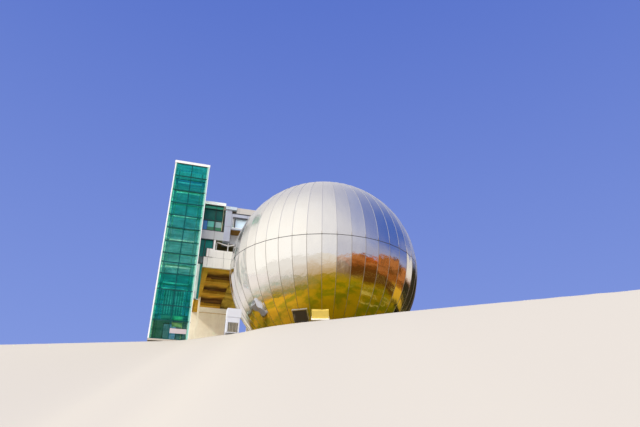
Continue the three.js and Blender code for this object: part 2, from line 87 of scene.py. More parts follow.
# Lift tower
TOWER_X = (-14.97, -11.59)
TOWER_Y = (1.93, 5.15)
TOWER_Z = (0.15, 17.85)
TRANSOMS = (1.8, 3.15, 4.6, 6.1, 7.2, 8.1, 9.3, 10.7, 12.05, 13.4, 14.8, 16.4)
POST = 0.2
TRANSOM = 0.07
MULLION = 0.08
PANE_DEPTH = (0.109, 0.121)
DOOR_PANEL_DEPTH = (0.03, 0.09)
DOOR_FRAME_DEPTH = (0.0, 0.12)
JAMB_WIDTH = 0.05
BAR_DEPTH = (0.012, 0.108)
MULLION_DEPTH = (0.0, 0.107)
CLAMP_DEPTH = (-0.026, 0.05)
CLAMP = 0.16
GUIDE_Y = 3.1
GUIDE_X = (-14.45, -12.15)
CABIN_BOX = (-14.2, -12.4, 3.3, 4.7, 2.7, 4.9)
BRACKETS = (17.60, 16.22, 15.07, 12.4, 9.85, 7.1, 5.52, 4.97)

# Gallery block
BLOCK_X = (-11.1, -2.8)
REAR_Y = 19.0
WALL = 0.25
LINK_REAR = 5.35
WINDOW_WIDTH = 1.8
WINDOW_ROWS = ((9.3, 10.4), (12.06, 13.3))
LINK_PANES = (3.40, 3.42)
DECK_FRONT = 3.49
DECK_Z = (7.913, 8.298)
DECK_SOFFIT = 7.612
BEAM_TOP = 7.92
CEILING_Z = 7.66
FRONT_BEAM_BACK = 3.97
SIDE_PLATE_FRONT = 3.9
HAUNCH_X = (-10.5, -9.9)
HAUNCH_REACH = 0.25          # how far a haunch runs out before its beam
HAUNCH_RISE = 0.2            # how much its low right edge is lifted
STRIP_X = -10.88             # inner edge of the deck's edge strip
EDGE_BEAM = -10.42           # inner face of the beam beside it
INNER_BEAM = -7.95
CROSS_BEAMS = ((7.3, 8.0), (11.1, 11.9), (15.65, 16.4))
CELLS_START = 3.95
CELL_PITCH = 3.9
SCRIBE = 8.79                # reach of the deck's round edge from the sphere's axis

# Condenser at the sphere's foot
CABINET_X = (-8.906, -7.735)
CABINET_Y = (-2.45, -1.55)
CABINET_Z = (0.0, 2.08)
HOOD_Z = 1.32
GRILLE_TOP = 0.88
SLAT_PITCH = 0.085
GUARD_RADII = (0.12, 0.2, 0.28, 0.36)
GUARD_WIRE = 0.009

# Camera, ground and light
EYE = np.array((-13.119, -44.418, -10.745))
HEADING = np.array((0.2756, 0.9613, 0.0))
RIGHT = np.array((0.9613, -0.2756, 0.0))
PITCH = math.radians(27.5)
ROLL = math.radians(0.5)
LENS = 29.25
# The brow where the ground starts to fall: steps to the side of the camera and the depth ahead of it
BROW = np.array([(-400, 60), (-60, 50), (-14, 44.3), (-11, 43.8), (-9, 42.6), (-7.3, 41.8), (-6.2, 41.3),
                 (-5.2, 40.4), (-3.9, 39.4), (-1.5, 38.2), (1.4, 37.1), (5.3, 35.4), (8, 34.4), (20, 30),
                 (400, 10)], float)
SLOPE = 0.4
BROW_ROUND = 0.25
SUN_WAY = (-0.749, -0.327, 0.576)
LEFT_WAY = (-0.985, 0.174, 0)
RIGHT_WAY = (0.985, -0.174, 0)
WARM_WAY = (-0.883, -0.321, 0.342)
BLUE_WAY = (0.9, -0.05, 0.433)
SHADE_WAY = (0.961, 0.276, 0)
GLOW_WAY = (0.998, -0.07, 0)
EMBER_WAY = (0.669, -0.743, 0)
AMBIENT = 1.8                # the surround as light, next to its brightness in the steel
STRIP_TURN = math.radians(16)
SHADE_TURN = math.radians(55)    # compass turns of the upright strips in the surround
EYE_LEVEL = 4.0              # height on the sphere from which the ground's dip is reckoned
FOOT_REACH = 7.0             # distance from the axis at which that reckoning starts
GROUND_DIMMING = 0.54        # strength of the ground in the steel
GROUND_SEEN = (0.44, 0.42, 0.39)
SUN_STRENGTH = 1.7
SUN_SPREAD = math.radians(5)
SUN_TINT = (1.0, 0.955, 0.88)
LAMP_POWER = 70
LAMP_SIZE = 0.5
LAMP_TINT = (1.0, 0.86, 0.68)
LAMP_PLACE = (0, 0, 6.5)

# Meshes
BOX_CORNERS = np.array([(x, y, z) for z in (0, 1) for y in (0, 1) for x in (0, 1)])
BOX_FACES = np.array([(0, 2, 3, 1), (4, 5, 7, 6), (0, 1, 5, 4), (2, 6, 7, 3), (0, 4, 6, 2), (1, 3, 7, 5)])


def grid_faces(index, flip=False):
    """Quads between neighbouring rows and columns of a table of point numbers."""
    faces = np.stack([index[:-1, :-1], index[:-1, 1:], index[1:, 1:], index[1:, :-1]], -1).reshape(-1, 4)
    return faces[:, ::-1] if flip else faces


def thick_sheet(outer, inner):
    """Closed sheet between two grids of points: the outer face, the inner face turned round, and a rim."""
    rows, columns = outer.shape[:2]
    count = rows * columns
    index = np.arange(count).reshape(rows, columns)
    loop = np.concatenate([index[0, :-1], index[:-1, -1], index[-1, :0:-1], index[:0:-1, 0]])
    after = np.roll(loop, -1)
    rim = np.stack([after, loop, loop + count, after + count], -1)
    faces = np.concatenate([grid_faces(index), grid_faces(index + count, flip=True), rim])
    return np.concatenate([outer.reshape(-1, 3), inner.reshape(-1, 3)]), faces


def boxes(limits):
    """Rectangular bars: a row gives the low and high x, y and z, and the corners are all their pairings."""
    span = np.asarray(limits, float).reshape(-1, 3, 2)
    corners = span[:, np.arange(3), BOX_CORNERS]
    faces = BOX_FACES + 8 * np.arange(len(span))[:, None, None]
    return corners.reshape(-1, 3), faces.reshape(-1, 4)


def slanted(start, end, width, depth):
    """A bar from one point to another, with its depth along Y.

    Half its width goes to either side, square to Y and to the run.
    """
    start, end = np.array(start, float), np.array(end, float)
    across = np.cross(end - start, (0, 1, 0))
    across *= width / 2 / np.linalg.norm(across)
    back = np.array((0, depth, 0))
    corners = np.array([start - across, end - across, start - across + back, end - across + back,
                        start + across, end + across, start + across + back, end + across + back])
    return corners, BOX_FACES


def surface(points, flip=False):
    """An open sheet: a grid of points and its quads."""
    return points.reshape(-1, 3), grid_faces(np.arange(points[..., 0].size).reshape(points.shape[:2]), flip)


def together(parts):
    """One list of points and one of faces from several."""
    points, faces, start = [], [], 0
    for p, f in parts:
        points.append(p)
        faces.extend((np.asarray(f) + start).tolist())
        start += len(p)
    return np.concatenate(points), faces


def new_mesh(name, points, faces, smooth=False):
    """A mesh of the given points and faces."""
    mesh = bpy.data.meshes.new(name)
    mesh.from_pydata(points.tolist(), [], faces)
    mesh.polygons.foreach_set("use_smooth", np.full(len(mesh.polygons), smooth))
    return mesh


def placed(name, data):
    """A new object in the scene."""
    made = bpy.data.objects.new(name, data)
    bpy.context.scene.collection.objects.link(made)
    return made


def piece(name, parts, material, slot, smooth=False, bevel=0.0, stands_for=(), mirrored=True, clear=False):
    """A piece of the building made of the given points and faces.

    A piece that isn't mirrored stays out of reflections, and a clear one lets the light through unshaded.
    """
    mesh = new_mesh(name, *together(parts), smooth)
    mesh.validate()
    mesh.update()
    made = placed(name, mesh)
    mesh.materials.append(material)
    if bevel:
        edge = made.modifiers.new("edges", "BEVEL")
        edge.width, edge.segments, edge.limit_method = bevel, 2, "ANGLE"
    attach(made, "root")
    if stands_for:
        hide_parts(*stands_for)
    made.visible_glossy = mirrored
    made.visible_shadow = not clear
    return made


def tower_levels():
    """Heights of the tower's foot, its transoms and its head."""
    return (TOWER_Z[0], *TRANSOMS, TOWER_Z[1])


# Shader tools
class Graph:
    """Short ways to add nodes to a material, a world or a node group."""

    def __init__(self, tree):
        self.tree = tree

    def node(self, kind, **settings):
        """A new node with its settings."""
        made = self.tree.nodes.new(kind)
        for key, value in settings.items():
            setattr(made, key, value)
        return made

    def feed(self, socket, value):
        """Links an output to a socket, or sets the socket to a value. A colour is given without its alpha."""
        if isinstance(value, bpy.types.NodeSocket):
            self.tree.links.new(value, socket)
        elif value is not None:
            socket.default_value = (*value, 1) if socket.type == "RGBA" else value

    def fed(self, made, values):
        """Feeds a node's first inputs in order and gives back its outputs."""
        for socket, value in zip(made.inputs, values):
            self.feed(socket, value)
        return made.outputs

    def math(self, operation, *inputs):
        """A number worked out from others."""
        return self.fed(self.node("ShaderNodeMath", operation=operation), inputs)[0]

    plus = partialmethod(math, "ADD")
    minus = partialmethod(math, "SUBTRACT")
    times = partialmethod(math, "MULTIPLY")
    over = partialmethod(math, "DIVIDE")
    most = partialmethod(math, "MAXIMUM")
    is_below = partialmethod(math, "LESS_THAN")
    is_above = partialmethod(math, "GREATER_THAN")

    def vector(self, operation, *inputs):
        """A vector, or for two operations a number, worked out from others."""
        outputs = self.fed(self.node("ShaderNodeVectorMath", operation=operation), inputs)
        return outputs["Value"] if operation in ("DOT_PRODUCT", "LENGTH") else outputs[0]

    stretched = partialmethod(vector, "MULTIPLY")

    def parts(self, vector):
        """The x, y and z of a vector."""
        return self.fed(self.node("ShaderNodeSeparateXYZ"), (vector,))

    def mix(self, share, first, second, blend="MIX"):
        """The first colour at share 0 and the second at share 1."""
        made = self.node("ShaderNodeMix", data_type="RGBA", blend_type=blend)
        self.feed(made.inputs[0], share)
        self.feed(made.inputs[6], first)
        self.feed(made.inputs[7], second)
        return made.outputs[2]

    def tinted(self, colour, tint):
        """One colour times another."""
        return self.mix(1.0, colour, tint, "MULTIPLY")

    def ramp(self, value, stops, interpolation="LINEAR"):
        """A colour for each value, from pairs of a value and its colour."""
        made = self.node("ShaderNodeValToRGB")
        made.color_ramp.interpolation = interpolation
        while len(made.color_ramp.elements) < len(stops):
            made.color_ramp.elements.new(0.5)
        for element, (place, colour) in zip(made.color_ramp.elements, stops):
            element.position, element.color = place, (*colour, 1)
        self.feed(made.inputs[0], value)
        return made.outputs[0]

    def spread(self, value, low, high, start=0.0, end=1.0, smooth=False):
        """Carries a value from one range to another, and holds it at the ends."""
        made = self.node("ShaderNodeMapRange", interpolation_type="SMOOTHSTEP" if smooth else "LINEAR")
        return self.fed(made, (value, low, high, start, end))[0]

    def noise(self, place, scale, detail=4.0, rough=0.55):
        """Soft random clouds, as numbers round a half."""
        made = self.named("ShaderNodeTexNoise", Vector=place, Scale=scale, Detail=detail, Roughness=rough)
        return made.outputs["Fac"]

    def bump(self, height, distance, strength):
        """A normal that leans as the height rises and falls."""
        made = self.named("ShaderNodeBump", Strength=strength, Distance=distance, Height=height)
        return made.outputs["Normal"]

    def named(self, kind, **inputs):
        """A node with its inputs fed by name."""
        made = self.node(kind)
        for key, value in inputs.items():
            self.feed(made.inputs[key], value)
        return made

    def chance(self, seed):
        """A number from 0 to 1 that depends on the seed alone."""
        made = self.node("ShaderNodeTexWhiteNoise", noise_dimensions="1D")
        self.feed(made.inputs["W"], seed)
        return made.outputs["Value"]

    def light_path(self):
        """What kind of ray is being shaded."""
        return self.node("ShaderNodeLightPath").outputs


def group(name, inputs, outputs):
    """An empty node group, with inputs given by kind and numbers as outputs: its tree, graph and ends."""
    tree = bpy.data.node_groups.new(name, "ShaderNodeTree")
    for label, kind in inputs.items():
        tree.interface.new_socket(name=label, in_out="INPUT", socket_type="NodeSocket" + kind)
    for label in outputs:
        tree.interface.new_socket(name=label, in_out="OUTPUT", socket_type="NodeSocketFloat")
    graph = Graph(tree)
    return tree, graph, graph.node("NodeGroupInput").outputs, graph.node("NodeGroupOutput").inputs


def weather_group():
    """Stains: soft blotches, and streaks that run down the wall."""
    tree, g, given, out = group("weather", {"Place": "Vector"}, ("Blotches", "Streaks"))
    g.feed(out["Blotches"], g.spread(g.noise(given["Place"], 0.7, 6.0, 0.6), 0.35, 0.68))
    runs = g.noise(g.stretched(given["Place"], (3.2, 3.2, 0.22)), 1.6, 5.0, 0.6)
    g.feed(out["Streaks"], g.spread(runs, 0.5, 0.78))
    return tree


def joints_group():
    """Joints between wall panels: a thin line each pitch along the wall and up it, and a shade a panel."""
    tree, g, given, out = group("panel joints", {"Place": "Vector", "Start": "Vector", "Along": "Float",
                                                 "Up": "Float", "Line": "Float"}, ("Joint", "Shade"))
    x, y, z = g.parts(g.vector("SUBTRACT", given["Place"], given["Start"]))
    along = g.plus(x, y)
    lines, numbers = [], []
    for value, pitch in ((along, given["Along"]), (z, given["Up"])):
        off = g.math("PINGPONG", value, g.times(pitch, 0.5))
        lines.append(g.is_below(off, g.times(given["Line"], 0.5)))
        numbers.append(g.math("ROUND", g.over(value, pitch)))
    g.feed(out["Joint"], g.most(*lines))
    cell = g.node("ShaderNodeCombineXYZ")
    g.fed(cell, numbers)
    shade = g.node("ShaderNodeTexWhiteNoise", noise_dimensions="2D")
    g.feed(shade.inputs["Vector"], cell.outputs[0])
    g.feed(out["Shade"], shade.outputs["Value"])
    return tree


WEATHER = weather_group()
JOINTS = joints_group()
PANEL_STAIN = 0.22
TOWER_TINT_TOP = 18          # height at which the tower glass's ramp ends


class Finish(Graph):
    """A material: the graph of its nodes, its Principled shader and the place on the object."""

    def __init__(self, name, roughness=0.5, metallic=0.0, **plain):
        self.material = bpy.data.materials.new(name)
        self.material.use_nodes = True
        super().__init__(self.material.node_tree)
        self.shader = self.tree.nodes["Principled BSDF"]
        self.set(Metallic=metallic, Roughness=roughness, **plain)
        self.place = self.node("ShaderNodeTexCoord").outputs["Object"]

    def set(self, **inputs):
        """Feeds the shader's sockets by name and gives back the material."""
        for key, value in inputs.items():
            self.feed(self.shader.inputs[key.replace("_", " ")], value)
        return self.material

    def use(self, tree, **inputs):
        """The outputs of a node group at this place."""
        made = self.node("ShaderNodeGroup", node_tree=tree)
        for key, value in {"Place": self.place, **inputs}.items():
            self.feed(made.inputs[key], value)
        return made.outputs

    def weathered(self, base, stain, share, mark="Blotches"):
        """A base colour under blotches or streaks of a stain."""
        return self.mix(self.times(self.use(WEATHER)[mark], share), base, stain)

    def xyz(self):
        """The place as three numbers."""
        return self.parts(self.place)

    def normal(self):
        """The way the face looks, without any bump."""
        return self.node("ShaderNodeNewGeometry").outputs["True Normal"]

    def facing(self, direction):
        """One where the surface faces that way, nothing where it doesn't."""
        return self.is_above(self.vector("DOT_PRODUCT", self.normal(), direction), 0.5)

    def grain(self, scale, distance, strength, detail=4.0, rough=0.55):
        """A normal roughened by noise."""
        return self.bump(self.noise(self.place, scale, detail, rough), distance, strength)


def shade_of(colour, share):
    """A darker shade: each channel times the same share."""
    return tuple(share * c for c in colour)


def steel_sheet():
    """Satin stainless sheet: each gore has its own shade and grain, and the sheet waves slightly."""
    f = Finish("steel_sheet", metallic=1.0)
    x, y, z = f.xyz()
    turn = f.over(f.minus(f.math("ARCTAN2", y, x), FIRST_SEAM - 2 * math.pi), GORE_ANGLE)
    upper = f.spread(z, CENTRE_Z - 0.01, CENTRE_Z + 0.01)
    gore_number = f.plus(f.math("FLOOR", turn), f.times(upper, 100.0))
    own, lean = f.chance(gore_number), f.chance(f.plus(gore_number, 0.37))
    sheet = f.mix(own, (0.77, 0.77, 0.78), (0.84, 0.84, 0.83))
    grain = f.noise(f.stretched(f.place, (9.0, 9.0, 1.2)), 6.0, 3.0)
    rough = f.plus(f.times(own, 0.03), f.times(grain, 0.05))
    rough = f.plus(rough, f.spread(upper, 0, 1, 0.035, 0.19))
    broad = f.noise(f.stretched(f.place, (1.0, 1.0, 0.7)), 0.8, 1.0)
    small = f.noise(f.place, 2.3, 3.0)
    waves = f.plus(broad, f.times(small, f.spread(upper, 0, 1, 0.42, 0.10)))
    tilt = f.times(f.spread(lean, 0, 1, -1, 1), f.spread(upper, 0, 1, 0.35, 0.15))
    waves = f.plus(waves, f.times(z, tilt))
    waves = f.plus(waves, f.times(f.math("FRACT", turn), f.times(tilt, -0.8)))
    return f.set(Base_Color=f.weathered(sheet, (0.74, 0.72, 0.70), 0.3), Roughness=rough,
                 Normal=f.bump(waves, 0.05, 0.55))


def plain_metal(name, colour, roughness):
    """Bare or painted metal with a little blotching."""
    f = Finish(name, metallic=1.0)
    rough = f.spread(f.noise(f.place, 7.0), 0.3, 0.7, roughness - 0.06, roughness + 0.08)
    return f.set(Base_Color=f.weathered(colour, shade_of(colour, 0.72), 0.2), Roughness=rough)


def wall_panels(name, colour, along, up, line=0.03, start=(0, 0, 0), inside=None, below=None):
    """Coated wall panels with open joints and faint stains.

    The side that faces in is painted dark olive-brown as shade, and what lies below a given height is painted
    darker still as a shadow.
    """
    f = Finish(name)
    panel = f.use(JOINTS, Start=start, Along=along, Up=up, Line=line)
    base = f.mix(f.times(panel["Shade"], 0.5), colour, shade_of(colour, 0.9))
    base = f.weathered(base, (0.55, 0.52, 0.47), PANEL_STAIN)
    base = f.weathered(base, (0.40, 0.38, 0.35), PANEL_STAIN, "Streaks")
    base = f.mix(f.times(panel["Joint"], 0.8), base, (0.12, 0.12, 0.13))
    # Faces that look into the building take a painted shade.
    if inside:
        base = f.mix(f.facing(inside), base, (0.30, 0.24, 0.13))
    # Below the given height: a painted shadow band.
    if below:
        base = f.mix(f.is_below(f.xyz()[2], below), base, (0.16, 0.14, 0.07))
    return f.set(Base_Color=base, Normal=f.bump(f.minus(1.0, panel["Joint"]), 0.02, 0.6),
                 Roughness=f.spread(f.use(WEATHER)["Blotches"], 0, 1, 0.36, 0.55))


def coated(name, colour, roughness=0.4, stain=0.18, shine=0.5):
    """Smooth paint or powder coating with faint stains and a fine orange-peel surface."""
    f = Finish(name, Specular_IOR_Level=shine)
    base = f.weathered(colour, shade_of(colour, 0.7), stain)
    base = f.weathered(base, shade_of(colour, 0.5), stain * 0.6, "Streaks")
    return f.set(Base_Color=base, Normal=f.grain(160.0, 0.002, 0.15, detail=2.0),
                 Roughness=f.spread(f.use(WEATHER)["Blotches"], 0, 1, roughness - 0.05, roughness + 0.12))


def rendered_wall(name, colour, grain=60.0, stain=0.35, under=None, edge=None, shine=0.5,
                  blotch=(0.62, 0.52, 0.42)):
    """Rough mineral surface: render or concrete.

    Faces that look down or to the left may take another colour; on the deck, the bay floor and the floors
    that colour is painted bounce light and shade.
    """
    f = Finish(name, roughness=0.88, Specular_IOR_Level=shine)
    base = colour
    if under:
        base = f.mix(f.facing((0, 0, 1)), under, base)
    if edge:
        base = f.mix(f.facing((-1, 0, 0)), base, edge)
    base = f.weathered(base, f.tinted(base, blotch), stain)
    base = f.weathered(base, f.tinted(base, (0.45, 0.4, 0.35)), stain * 0.6, "Streaks")
    return f.set(Base_Color=base, Normal=f.grain(grain, 0.01, 0.35, 5.0, 0.7))


def deck_cells_painted_shading():
    """Underside of the deck between its beams: painted light and shade, bright olive at the front of each
    cell and dark at its back.
    """
    f = Finish("deck_cells_painted_shading", roughness=0.9, Specular_IOR_Level=0.0)
    across = f.math("FRACT", f.over(f.minus(f.xyz()[1], CELLS_START), CELL_PITCH))
    across = f.plus(across, f.spread(f.noise(f.place, 0.9, 3.0), 0.3, 0.7, -0.08, 0.08))
    # Painted light and shade: bright where the cell's front catches bounce light, dark at its shaded back.
    depth = f.ramp(across, [
        (0.0, (0.80, 0.54, 0.07)), (0.34, (0.62, 0.38, 0.045)), (0.52, (0.16, 0.09, 0.02)),
        (0.66, (0.07, 0.035, 0.012)), (0.8, (0.18, 0.10, 0.03)), (1.0, (0.09, 0.06, 0.02))])
    base = f.weathered(depth, f.tinted(depth, (1.2, 0.7, 0.4)), 0.5)
    return f.set(Base_Color=f.mix(f.facing((0, 0, 1)), base, (0.52, 0.50, 0.46)),
                 Normal=f.grain(30.0, 0.01, 0.35, 5.0, 0.7))


def glass(name, colour, clear, low=None):
    """Tinted glass: part of the light passes, and part is scattered by the tint and by dust.

    Below a height it may be brighter.
    """
    f = Finish(name, roughness=0.03, Transmission_Weight=clear, IOR=1.2)
    base = f.weathered(colour, tuple(0.75 * c + 0.12 for c in colour), 0.22)
    if low:
        base = f.mix(f.is_below(f.xyz()[2], low), base, f.tinted(base, (1.6, 2.4, 2.4)))
    return f.set(Base_Color=base, Normal=f.grain(0.8, 0.02, 0.12, detail=2.0))


def tower_glass(name, clear, stops, painted_light_foot=None):
    """Teal glass whose colour changes up the tower by the given stops, with upright smears and cloudy bands
    over it.

    Its lowest panes may be paler from one x on: painted light on the boards seen through them.
    """
    f = Finish(name, roughness=0.02, Transmission_Weight=clear, IOR=1.1)
    x, _, z = f.xyz()
    tint = f.ramp(f.spread(z, 0, TOWER_TINT_TOP), [(at / TOWER_TINT_TOP, colour) for at, colour in stops])
    # Paler foot: painted light on the shadowed boards behind.
    if painted_light_foot:
        low = f.times(f.is_below(z, TRANSOMS[0]), f.is_above(x, painted_light_foot))
        tint = f.mix(low, tint, (0.42, 0.68, 0.42))
    smears = f.spread(f.noise(f.stretched(f.place, (5.0, 5.0, 0.9)), 1.3, 5.0, 0.65), 0.5, 0.62)
    bands = f.spread(f.noise(f.stretched(f.place, (0.8, 0.8, 4.0)), 1.1, 4.0, 0.6), 0.44, 0.60, 0.0, 0.8)
    base = f.mix(bands, tint, f.tinted(tint, (0.35, 0.68, 0.66)))
    base = f.mix(f.times(smears, 0.5), base, f.mix(1.0, base, (0.09, 0.20, 0.19), "ADD"))
    return f.set(Base_Color=base, Normal=f.grain(1.1, 0.02, 0.2, detail=3.0))


def inner_frame():
    """Frame bars that are dark on the side that faces out of the tower and dull teal on the others."""
    f = Finish("rear_frame")
    centre = (sum(TOWER_X) / 2, sum(TOWER_Y) / 2, 9.0)
    x, y, _ = f.parts(f.stretched(f.normal(), f.vector("SUBTRACT", f.place, centre)))
    outward = f.is_above(f.most(x, y), 1.0)
    teal = f.mix(f.noise(f.place, 3.0), (0.03, 0.20, 0.17), (0.08, 0.34, 0.29))
    return f.set(Base_Color=f.mix(outward, teal, (0.004, 0.05, 0.055)))


def grille_slats():
    """Dark inner face of the grille, with fine fins."""
    f = Finish("cooling_fins", metallic=0.6)
    fins = f.is_below(f.math("PINGPONG", f.xyz()[2], 0.02), 0.008)
    return f.set(Base_Color=f.mix(fins, (0.06, 0.06, 0.055), (0.35, 0.35, 0.31)))


def banded(name, bands, axis):
    """Painted or frosted sheets whose colour steps along one axis: each band starts at its own place."""
    f = Finish(name, roughness=0.25)
    low, high = bands[0][0], bands[-1][0] + 1
    stops = [((at - low) / (high - low), colour) for at, colour in bands]
    steps = f.ramp(f.spread(f.xyz()[axis], low, high), stops, "CONSTANT")
    return f.set(Base_Color=f.weathered(steps, f.tinted(steps, (0.6, 0.6, 0.6)), 0.3),
                 Normal=f.grain(3.0, 0.01, 0.2))


# What the steel mirrors
CLOUD = (0.75, 0.73, 0.765)
WARM = (1.30, 1.24, 1.13)
PALE_WARM = (1.05, 0.99, 0.89)
BLUE_SKY = (0.07, 0.15, 0.52)
HAZE = (0.90, 0.82, 0.71)
PALE_STRAW = (0.74, 0.57, 0.38)
STRAW = (0.58, 0.385, 0.16)
STRAW_GOLD = (0.52, 0.30, 0.012)
GOLD = (0.44, 0.265, 0.003)
PALE_GOLD = (0.85, 0.66, 0.12)
AMBER = (0.86, 0.47, 0.03)
NEAR_BLACK = (0.032, 0.026, 0.012)
PALE_RUST = (0.52, 0.18, 0.045)
EMBER = (0.66, 0.14, 0.012)
RUST = (0.33, 0.085, 0.01)
DARK_BROWN = (0.13, 0.042, 0.005)
OLIVE_TINT = (0.52, 0.74, 0.7)
LOW_BLUE = (0.42, 0.41, 0.52)
SEEN_LOW = (0.26, 0.36, 0.78)
SEEN_HIGH = (0.07, 0.14, 0.56)

# Finishes
FRONT_START = (-7.02, 0, 12.146)     # where the front panels' joints are counted from
STEEL = steel_sheet()
BATTEN = plain_metal("seam_batten", (0.66, 0.66, 0.68), 0.42)
# Darker metal for the lower seams: painted shade.
LOWER_BATTEN_PAINTED_SHADE = plain_metal("lower_seam_batten", (0.40, 0.38, 0.34), 0.38)
CROWN = plain_metal("crown_steel", (0.78, 0.78, 0.79), 0.26)
SEAM = coated("equator_seam", (0.07, 0.07, 0.075), 0.5)
LINING = coated("sphere_lining", (0.80, 0.72, 0.60), 0.7)
# Dark blue-lavender: painted sky shade on the white pier and bay front panels.
PIER_PANELS = wall_panels("pier_panels_painted_sky_shade", (0.40, 0.45, 0.58), 1.55, 1.85, start=FRONT_START)
# Grey: painted shade on white spandrel panels.
SPANDREL_PANELS = wall_panels("spandrel_panels", (0.47, 0.51, 0.53), 1.55, 1.85, start=FRONT_START)
EDGE_WHITE = wall_panels("deck_edge_panels", (0.86, 0.87, 0.84), 1.55, 1.85, start=(-7.4, 0, 8.645))
# Pale blue: painted sky shade on the white terrace wall; the dark olive below 10.87 is a painted shadow.
TERRACE_WALL = wall_panels("terrace_wall_panels", (0.80, 0.88, 1.0), 1.55, 3.7, start=FRONT_START,
                           below=10.87)
# Lavender-grey: painted sky shade on white wall panels; their inner faces take painted shade as well.
WHITE_LEFT, WHITE_REAR, WHITE_RIGHT = (
    wall_panels(name + "_wall_panels", (0.66, 0.68, 0.76), 1.55, 0.925, start=FRONT_START, inside=inside)
    for name, inside in (("left", (1, 0, 0)), ("rear", (0, -1, 0)), ("right", (-1, 0, 0))))
# Blue-grey: painted sky shade on the white pier cap.
CAP = coated("pier_cap_sheet", (0.53, 0.64, 0.74), 0.35)
TRIM = coated("white_trim", (0.86, 0.88, 0.88), 0.35)
FASCIA = wall_panels("cream_fascia", (0.50, 0.49, 0.47), 2.4, 4.0, 0.02)
DARK = coated("dark_frame", (0.012, 0.035, 0.038), 0.4)
DOOR_PANELS = coated("door_surround", (0.20, 0.37, 0.62), 0.45)
TOWER_FRAME = coated("tower_frame", (0.001, 0.07, 0.075), 0.4, shine=0.1)
REAR_FRAME = inner_frame()
TREE_REFLECTION_TEAL = (0.19, 0.43, 0.18)
HILL_REFLECTION_TEAL = (0.07, 0.70, 0.54)
PALE_TEAL = (0.60, 0.98, 0.74)
MID_TEAL = (0.22, 0.98, 0.70)
TOP_TEAL = (0.08, 0.78, 0.90)
CLEAR_GREEN = (0.68, 0.87, 0.84)
DEEP_GREEN = (0.08, 0.70, 0.44)
MID_GREEN = (0.25, 0.80, 0.43)
# On the front, the olive foot and the deep teal low rows are painted reflection of the trees and the dark
# hill.
FRONT_TEAL = tower_glass("front_teal_glass", 0.98, [
    (1.7, TREE_REFLECTION_TEAL), (2.0, HILL_REFLECTION_TEAL), (6.0, HILL_REFLECTION_TEAL), (6.4, PALE_TEAL), (10.5, PALE_TEAL),
    (12.5, MID_TEAL), (15.2, MID_TEAL), (16.2, TOP_TEAL)], painted_light_foot=-13.28)
BACK_TEAL = tower_glass("back_teal_glass", 0.97, [
    (2.6, CLEAR_GREEN), (3.4, DEEP_GREEN), (6.0, DEEP_GREEN), (6.5, MID_GREEN), (10.5, MID_GREEN),
    (12.5, DEEP_GREEN)])
DARK_GREEN = glass("dark_green_glass", (0.003, 0.10, 0.09), 0.25, low=11.0)
# Pale blue: painted reflection of the bright sky in the window glass.
BLUE = glass("window_glass_painted_sky_reflection", (0.66, 0.84, 0.98), 0.05)
CREAM = rendered_wall("cream_render", (0.97, 0.92, 0.76))
CONCRETE = rendered_wall("concrete", (0.50, 0.47, 0.42), 25.0)
# On the deck, the ochre on faces that don't look up is painted bounce light from the golden hill on cream
# concrete, and the pale on faces that look left is painted sky light.
SOFFIT = rendered_wall("deck_concrete", (0.52, 0.50, 0.46), 30.0, stain=0.7, under=(0.70, 0.42, 0.05),
                       edge=(0.55, 0.52, 0.36), shine=0.0)
SIDE_SOFFIT = rendered_wall("side_soffit", (0.52, 0.50, 0.46), 6.0, stain=1.0, under=(0.62, 0.42, 0.06),
                            shine=0.0, blotch=(0.10, 0.08, 0.06))
EDGE_STRIP = rendered_wall("deck_edge_strip", (0.60, 0.52, 0.20), 30.0, stain=0.8, under=(0.46, 0.30, 0.04),
                           shine=0.0)
DECK_CELLS_PAINTED_SHADING = deck_cells_painted_shading()
# Ochre-brown under the bay floor and olive-brown under the floors: painted bounce light and shade.
BAY_SOFFIT = rendered_wall("bay_soffit", (0.62, 0.58, 0.52), 30.0, under=(0.42, 0.23, 0.04))
FLOORING = rendered_wall("floor_screed", (0.46, 0.42, 0.36), 30.0, under=(0.30, 0.24, 0.09))
ROOFING = rendered_wall("roof_membrane", (0.46, 0.46, 0.46), 45.0, under=(0.62, 0.56, 0.45))
GOLD_PAINT = coated("panel_paint", (0.88, 0.68, 0.15), 0.35)
CABINET_PAINT = coated("cabinet_paint", (0.57, 0.61, 0.70), 0.4, stain=0.1)
POST_COVER = banded("post_covers", [(-15.0, (0.02, 0.30, 0.25)), (-13.0, (0.26, 0.62, 0.54))], 0)
LINK_INFILL = banded("link_infill_panes", [(-11.6, (0.01, 0.19, 0.50)), (-11.09, (0.09, 0.50, 0.42)),
                                           (-10.36, (0.24, 0.42, 0.42))], 0)
LINK_BOARDS = banded("link_low_boards", [(11.4, (0.03, 0.20, 0.10)), (13.0, (0.0, 0.27, 0.17))], 2)
SHAFT_BOARDS = coated("shaft_boards", (0.9, 0.86, 0.5), 0.4)
FOOT_BAND = coated("foot_band", (0.52, 0.46, 0.50), 0.4)
# Near black: painted shadow lines round the bay window, and its dark strips.
BAY_DARK_AND_SHADOW = coated("bay_dark_and_shadow", (0.05, 0.055, 0.07), 0.4)
JAMB = coated("pale_jamb", (0.42, 0.42, 0.26), 0.4)
CABIN = coated("lift_cabin", (0.16, 0.34, 0.42), 0.3)
FINS = grille_slats()
SLATS = plain_metal("slat_metal", (0.85, 0.85, 0.76), 0.5)

